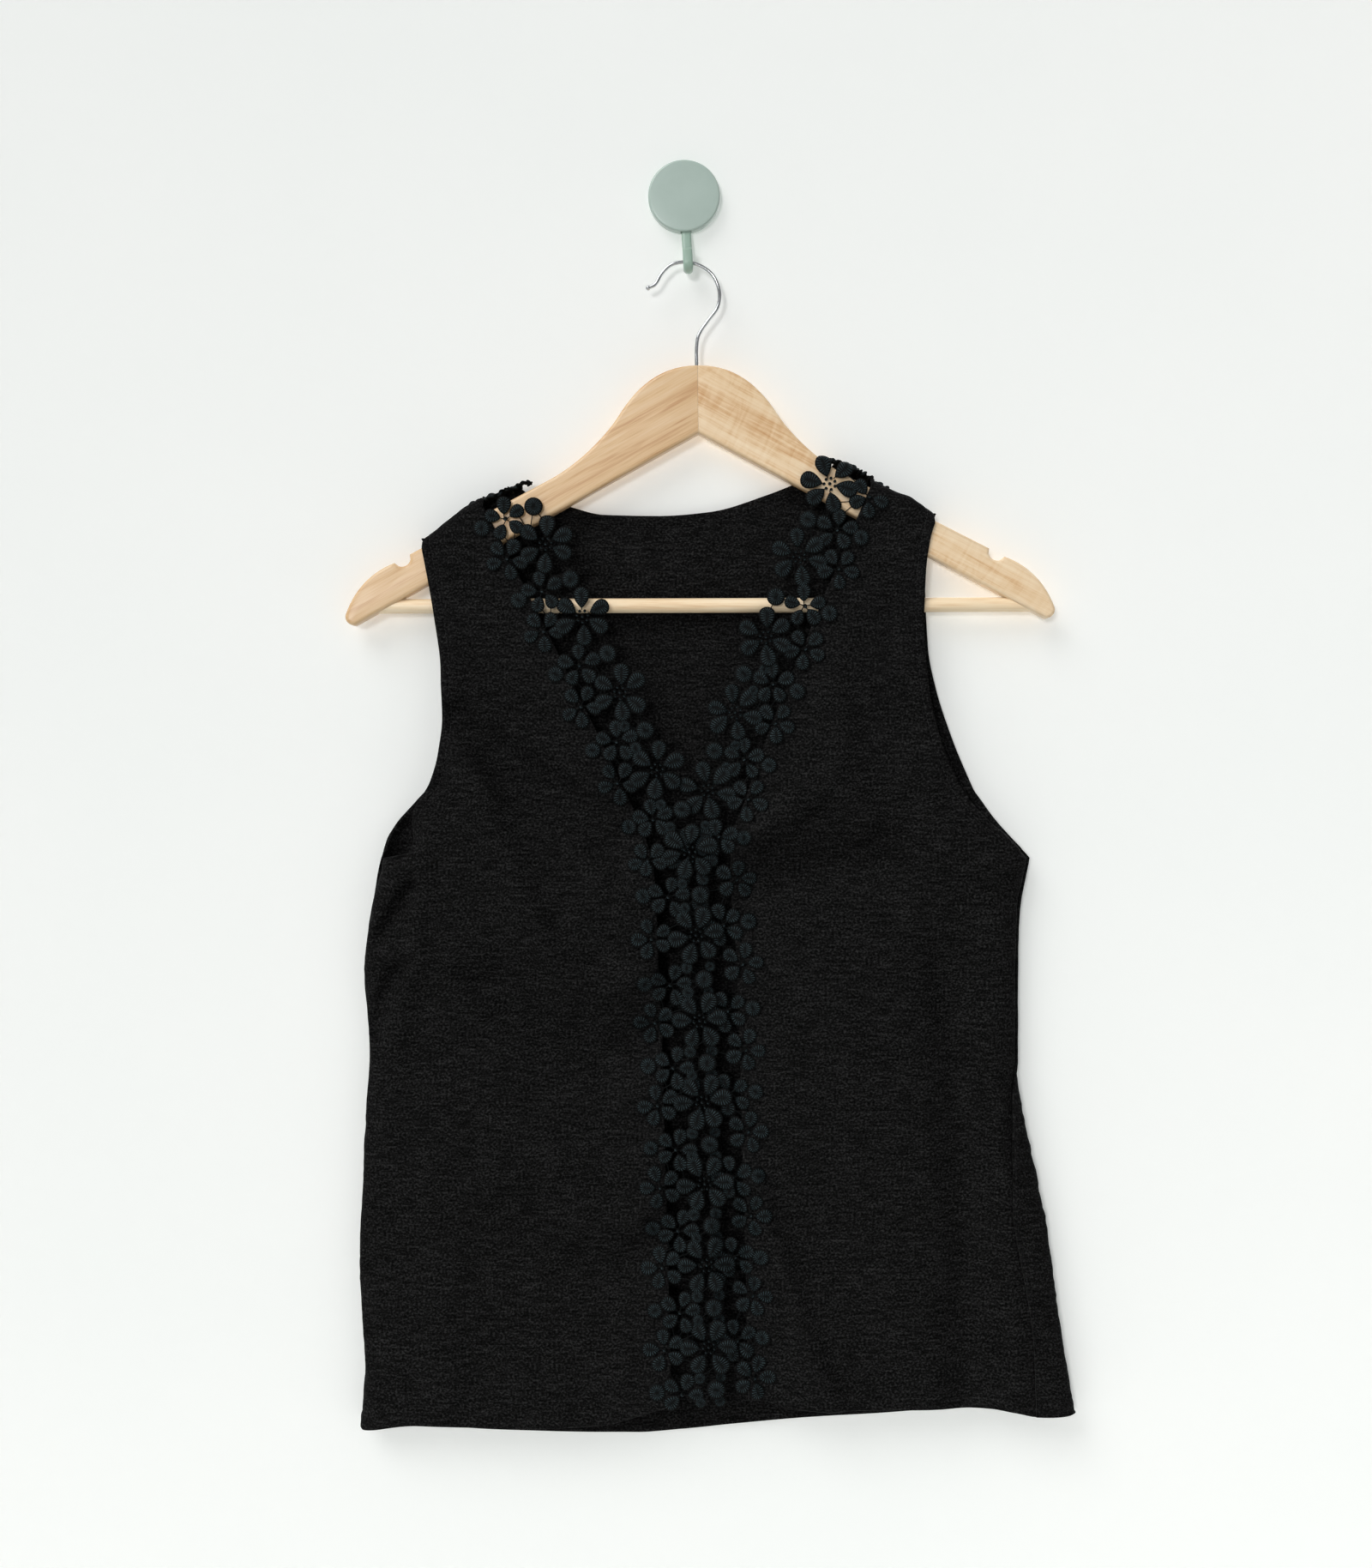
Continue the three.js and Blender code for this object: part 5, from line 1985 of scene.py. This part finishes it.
@dataclass
class HangerHook:
    """The wire hook: a loop of wire with a ball end, its stem let into the apex of the hanger."""

    wire_diameter: float = 2.3
    ball_diameter: float = 3.2
    depth: float = 14.0
    route: tuple[Pair, ...] = (
        (-22.5, -59.9), (-18.2, -57.7), (-14.4, -51.5), (-8.5, -45.7), (1.5, -43.7), (10.9, -46.4),
        (18.4, -52.6), (22.2, -63.3), (20.7, -72.5), (14.6, -80.9), (9.2, -89.3), (7.9, -96.3), (7.9, -110.4),
    )

    def _path(self, steps: int = 12) -> list[Vector]:
        """Draws the wire's middle line, a centripetal curve through the points of its route.

        Args:
            steps: How many steps it has from point to point.

        Returns:
            Points along it: x, depth and z.
        """
        knots = [Vector((x, self.depth, z)) for x, z in self.route]
        knots = [2 * knots[0] - knots[1], *knots, 2 * knots[-1] - knots[-2]]
        path = []
        for a, b, c, d in zip(knots, knots[1:], knots[2:], knots[3:]):
            t0 = 0.0
            t1 = t0 + math.sqrt((b - a).length)
            t2 = t1 + math.sqrt((c - b).length)
            t3 = t2 + math.sqrt((d - c).length)
            for k in range(steps):
                t = mix(t1, t2, k / steps)
                ab = a.lerp(b, (t - t0) / (t1 - t0))
                bc = b.lerp(c, (t - t1) / (t2 - t1))
                cd = c.lerp(d, (t - t2) / (t3 - t2))
                abc = ab.lerp(bc, (t - t0) / (t2 - t0))
                bcd = bc.lerp(cd, (t - t1) / (t3 - t1))
                path.append(abc.lerp(bcd, (t - t1) / (t2 - t1)))
        return [*path, knots[-2]]

    def build(self) -> None:
        """Sweeps the wire along its line and rounds its end with a ball."""
        path = millimetres(tuple(p) for p in self._path())
        bm = bmesh.new()
        radius = self.wire_diameter / 2 * MM
        start = (path[1] - path[0]).normalized()
        across = Vector((0, 1, 0))
        place = Matrix((across, start.cross(across), start)).transposed().to_4x4()
        place.translation = path[0]
        bmesh.ops.create_circle(bm, cap_ends=True, segments=16, radius=radius, matrix=place)
        edges = [e for e in bm.edges if len(e.link_faces) == 1]
        heading = start
        for i in range(1, len(path)):
            after = path[min(i + 1, len(path) - 1)] - path[i - 1]
            made = bmesh.ops.extrude_edge_only(bm, edges=edges)["geom"]
            ring = [g for g in made if isinstance(g, BMVert)]
            bmesh.ops.translate(bm, vec=path[i] - path[i - 1], verts=ring)
            turn = heading.rotation_difference(after.normalized()).to_matrix()
            bmesh.ops.rotate(bm, cent=path[i], matrix=turn, verts=ring)
            heading = after.normalized()
            edges = [g for g in made if isinstance(g, BMEdge) and all(v in ring for v in g.verts)]
        bmesh.ops.holes_fill(bm, edges=[e for e in bm.edges if e.is_boundary])
        ball, end = self.ball_diameter / 2 * MM, Matrix.Translation(path[0])
        bmesh.ops.create_uvsphere(bm, u_segments=20, v_segments=12, radius=ball, matrix=end)
        bmesh.ops.recalc_face_normals(bm, faces=bm.faces)
        wire = mesh_of(bm, "wire_hook")
        finish_piece("wire_hook", wire, ChromedWire().material(), ["hanger_hook"], 50.0)


# --- the wall hook


@dataclass
class WallHook:
    """A round enamelled plate on the wall, with a slot in its underside that a J hook comes out of."""

    diameter: float = 45.4
    thickness: float = 7.5
    rounding: float = 1.4
    hook_width: float = 6.1
    hook_thickness: float = 4.0
    foot: float = 1.4
    lean: float = 3.0
    inner_radius: float = 2.6
    tip_top: float = -35.9
    root: Triple = (1.2, 3.9, -19.8)
    trough_depth: float = 14.0
    trough_height: float = -45.75
    hook_rounding: float = 1.5
    slot_gap: float = 0.3
    slot_height: float = 10.0
    back_edge: float = 0.6

    def _disc(self) -> Mesh:
        """Turns the plate from its half section, and cuts the slot in its underside.

        Returns:
            The plate.
        """
        radius, rim, edge = self.diameter / 2, self.rounding, self.back_edge
        section = [(0.0, 0.0), (radius - edge, 0.0), (radius - edge / 3, edge / 4), (radius, edge)]
        section += arc_points((radius - rim, self.thickness - rim), rim, 0, 90, 6)
        section += [(radius * 0.6, self.thickness + 0.15), (0.0, self.thickness + 0.2)]
        bm = bmesh.new()
        verts = [bm.verts.new((out * MM, -depth * MM, 0)) for out, depth in section]
        edges = [bm.edges.new(pair) for pair in zip(verts, verts[1:])]
        bmesh.ops.spin(
            bm, geom=[*verts, *edges], cent=(0, 0, 0), axis=(0, 1, 0), angle=FULL, steps=96, use_merge=True
        )
        bmesh.ops.remove_doubles(bm, verts=bm.verts, dist=1e-6)
        bmesh.ops.recalc_face_normals(bm, faces=bm.faces)
        plate = bpy.data.objects.new("plate", mesh_of(bm, "plate"))
        tool_bm = bmesh.new()
        x, depth, top = self.root
        size = (self.hook_width + 2 * self.slot_gap, self.hook_thickness + 1.0, self.slot_height)
        place = Matrix.Translation((x * MM, -depth * MM, (top + self.slot_gap - self.slot_height / 2) * MM))
        bmesh.ops.create_cube(tool_bm, size=1.0, matrix=place @ Matrix.Diagonal([s * MM for s in size] + [1.0]))
        tool = bpy.data.objects.new("slot", mesh_of(tool_bm, "slot"))
        for item in (plate, tool):
            bpy.context.scene.collection.objects.link(item)
        cut = plate.modifiers.new("slot", "BOOLEAN")
        cut.operation, cut.object, cut.solver = "DIFFERENCE", tool, "EXACT"
        bpy.context.view_layer.update()
        evaluated = plate.evaluated_get(bpy.context.evaluated_depsgraph_get())
        mesh = bpy.data.meshes.new_from_object(evaluated)
        for item in (plate, tool):
            bpy.data.objects.remove(item)
        return mesh

    def _hook(self) -> Mesh:
        """Draws the J from the side, gives it its width and rounds its edges and its foot.

        Returns:
            The hook.
        """
        inner, half = self.inner_radius, self.hook_thickness / 2
        outer = inner + self.hook_thickness
        x, depth, top = self.root
        centre, tip = self.trough_height + inner, self.tip_top - half
        points = [(depth - half, top), (depth - half, top - 5), (self.trough_depth - outer, centre)]
        points += arc_points((self.trough_depth, centre - self.foot), outer, 180, 360, 22)
        points += arc_points((self.trough_depth + inner + half, tip), half, 0, 180, 12)
        points += arc_points((self.trough_depth, centre), inner, 360, 180, 14)
        points += [(depth + half, top - 4), (depth + half, top)]
        outline = millimetres((0.0, d, z) for d, z in points)
        bm = rounded_slab(outline, Vector((self.hook_width * MM, 0, 0)), self.hook_rounding * MM, 4)
        bmesh.ops.triangulate(bm, faces=[f for f in bm.faces if len(f.verts) > 4])
        base = (self.trough_height - self.hook_thickness - self.foot) * MM
        for vert in bm.verts:
            short = max(0.0, 1 - (vert.co.z - base) / (self.hook_width / 2 * MM))
            vert.co.x *= math.sqrt(max(0.02, 1 - short * short))
        turn = Matrix.Rotation(-math.radians(self.lean), 3, "Y")
        bmesh.ops.rotate(bm, cent=(0, 0, top * MM), matrix=turn, verts=bm.verts)
        bmesh.ops.translate(bm, vec=(x * MM, 0, 0), verts=bm.verts)
        return mesh_of(bm, "enamel_j_hook")

    def build(self) -> None:
        """Builds the plate and its J hook."""
        plate = SageEnamel("sage_enamel_plate", "#a6b7af", "#a2b3ab").material()
        hook = SageEnamel("sage_enamel_hook", "#96aea1", "#90a899").material()
        finish_piece("enamel_disc", self._disc(), plate, ["wall_hook_disc"], 35.0)
        finish_piece("enamel_j_hook", self._hook(), hook, ["wall_hook_arm"], 35.0)


# --- the studio


@dataclass
class Studio:
    """The white wall that the object hangs on, a pale floor below it, soft lights and the camera."""

    wall_gap: float = 0.0008
    floor_height: float = -1.02
    window_from: Triple = (-0.48, -0.62, 0.7)
    sky_from: Triple = (-0.62, -0.18, 0.76)
    sky_strength: float = 0.3
    lens_mm: float = 47.64
    sensor_mm: float = 36.0
    camera_at: Triple = (0.00119, -1.314, -0.3707)

    def _sheet(self, name: str, size: Pair, place: Matrix, material: Material) -> Object:
        """Adds a flat stage piece.

        Args:
            name: Its name.
            size: Its width and height, in metres.
            place: Where it stands.
            material: Its finish.

        Returns:
            The stage piece.
        """
        bm = bmesh.new()
        sized = place @ Matrix.Diagonal((*size, 1.0, 1.0))
        bmesh.ops.create_grid(bm, x_segments=1, y_segments=1, size=0.5, matrix=sized)
        sheet = bpy.data.objects.new(name, mesh_of(bm, name))
        sheet.data.materials.append(material)
        bpy.context.scene.collection.objects.link(sheet)
        return sheet

    def _light(self, name: str, place: Triple, size: float, power: float) -> None:
        """Adds a soft square light, aimed at the blouse.

        Args:
            name: The light's name.
            place: Where it stands, in metres.
            size: Its width, in metres.
            power: Its power, in watts.
        """
        aim = Vector((0, 0, -0.4))
        lamp = bpy.data.lights.new(name, "AREA")
        lamp.size, lamp.energy = size, power
        light = bpy.data.objects.new(name, lamp)
        light.location = place
        light.rotation_euler = (aim - Vector(place)).to_track_quat("-Z", "Y").to_euler()
        bpy.context.scene.collection.objects.link(light)

    def _far_light(
        self,
        name: str,
        toward: Triple,
        width: float,
        strength: float,
        flagged: Object | None = None,
    ) -> None:
        """Adds a distant light, which is equally bright everywhere.

        Args:
            name: The light's name.
            toward: The direction that it comes from.
            width: Its width, as an angle in degrees.
            strength: Its irradiance.
            flagged: An object that is kept out of its light, as with a flag on a stand.
        """
        lamp = bpy.data.lights.new(name, "SUN")
        lamp.energy, lamp.angle = strength, math.radians(width)
        light = bpy.data.objects.new(name, lamp)
        light.rotation_euler = Vector(toward).to_track_quat("Z", "Y").to_euler()
        bpy.context.scene.collection.objects.link(light)
        if flagged:
            unlit = bpy.data.collections.new(f"unlit_by_{name}")
            unlit.objects.link(flagged)
            unlit.collection_objects[0].light_linking.link_state = "EXCLUDE"
            light.light_linking.receiver_collection = unlit

    def _sky(self) -> World:
        """Makes a pale room, brighter above and to the left, which gives the chrome something to reflect.

        Returns:
            The room.
        """
        world = bpy.data.worlds.new("pale_room")
        world.use_nodes = True
        tree = world.node_tree
        way = add_node(tree, "TexCoord").outputs["Generated"]
        toward = add_node(tree, "VectorMath", {0: way, 1: self.sky_from}, operation="DOT_PRODUCT")
        value = toward.outputs["Value"]
        share = add_node(tree, "MapRange", {"Value": value, "From Min": -0.5, "From Max": 0.6})
        colour = add_node(tree, "ValToRGB", {"Fac": share}, stops=((0.0, "#6a6c6f"), (1.0, "#ffffff")))
        background = tree.nodes["Background"]
        tree.links.new(colour.outputs["Color"], background.inputs["Color"])
        background.inputs["Strength"].default_value = self.sky_strength
        return world

    def build(self) -> None:
        """Builds the wall, the floor, the lights, the room and the camera."""
        wall_paint = MattPaint("matt_wall_paint", "#fbfcfa", "#f8faf8", True, "#6b6d6c").material()
        floor_paint = MattPaint("matt_floor_paint", "#cdcecc", "#cacbc9").material()
        upright = Matrix.Translation((0, self.wall_gap, 0.2)) @ Matrix.Rotation(QUARTER, 4, "X")
        wall = self._sheet("studio_wall", (6.0, 4.0), upright, wall_paint)
        wall.visible_shadow = False
        self._sheet("studio_floor", (6.0, 6.0), Matrix.Translation((0, 0, self.floor_height)), floor_paint)
        self._far_light("key", (-0.24, -1.0, 0.06), 9.0, 0.75)
        self._far_light("window", self.window_from, 35.0, 0.8)
        self._far_light("flagged_window", self.window_from, 35.0, 1.2, flagged=wall)
        self._light("fill", (1.9, -2.3, 0.2), 2.2, 4.0)
        self._light("back_fill", (0.9, 2.4, 1.0), 2.0, 55.0)
        scene = bpy.context.scene
        scene.world = self._sky()
        scene.view_settings.view_transform = "Standard"
        lens = bpy.data.cameras.new("camera")
        lens.sensor_width, lens.lens = self.sensor_mm, self.lens_mm
        camera = bpy.data.objects.new("camera", lens)
        camera.location = self.camera_at
        camera.rotation_euler = (QUARTER, 0, 0)
        scene.collection.objects.link(camera)
        scene.camera = camera


def build_blouse() -> None:
    """Builds the three panels with their stitches, and the two lace trims on the fronts."""
    form = BlouseForm()
    crepe = CrinkleCrepe().material()
    thread = SewingThread().material()
    lace = GuipureThread().material()
    panels = (
        FrontPanel(form, "crepe_front_left", "front_left", 11, side=Side.LEFT),
        FrontPanel(form, "crepe_front_right", "front_right", 23, side=Side.RIGHT, outward=-1),
        BackPanel(form, "crepe_back", "back", 37, outward=-1),
    )
    for panel in panels:
        piece = panel.build(crepe)
        stitches = Stitching(f"stitches_{panel.node}", panel.stitch_paths).build(thread)
    low = (-464.3, -517.5, -568.1, -618.6, -669.2, -719.7)
    left = (-221.2, -266.4, -313.8, -361.7, -412.7, *low)
    upper = (-184.0, -229.2, -279.2, -326.0, -374.4)
    right = (*upper, -430.7, -482.3, -535.3, -586.3, -637.3, -688.3, -739.3)
    trims = (
        LaceTrim(form, Side.LEFT, 5, left, left, (97.0, 136.0)),
        LaceTrim(form, Side.RIGHT, 9, right, (*upper, -418.5, *low), (92.0, 128.0)),
    )
    for trim in trims:
        piece = trim.build(lace)


def main() -> None:
    """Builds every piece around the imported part."""
    logging.basicConfig(level=logging.INFO, format="%(message)s")
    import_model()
    Studio().build()
    build_blouse()
    WoodenHanger().build()
    HangerHook().build()
    WallHook().build()


if __name__ == "__main__":
    main()
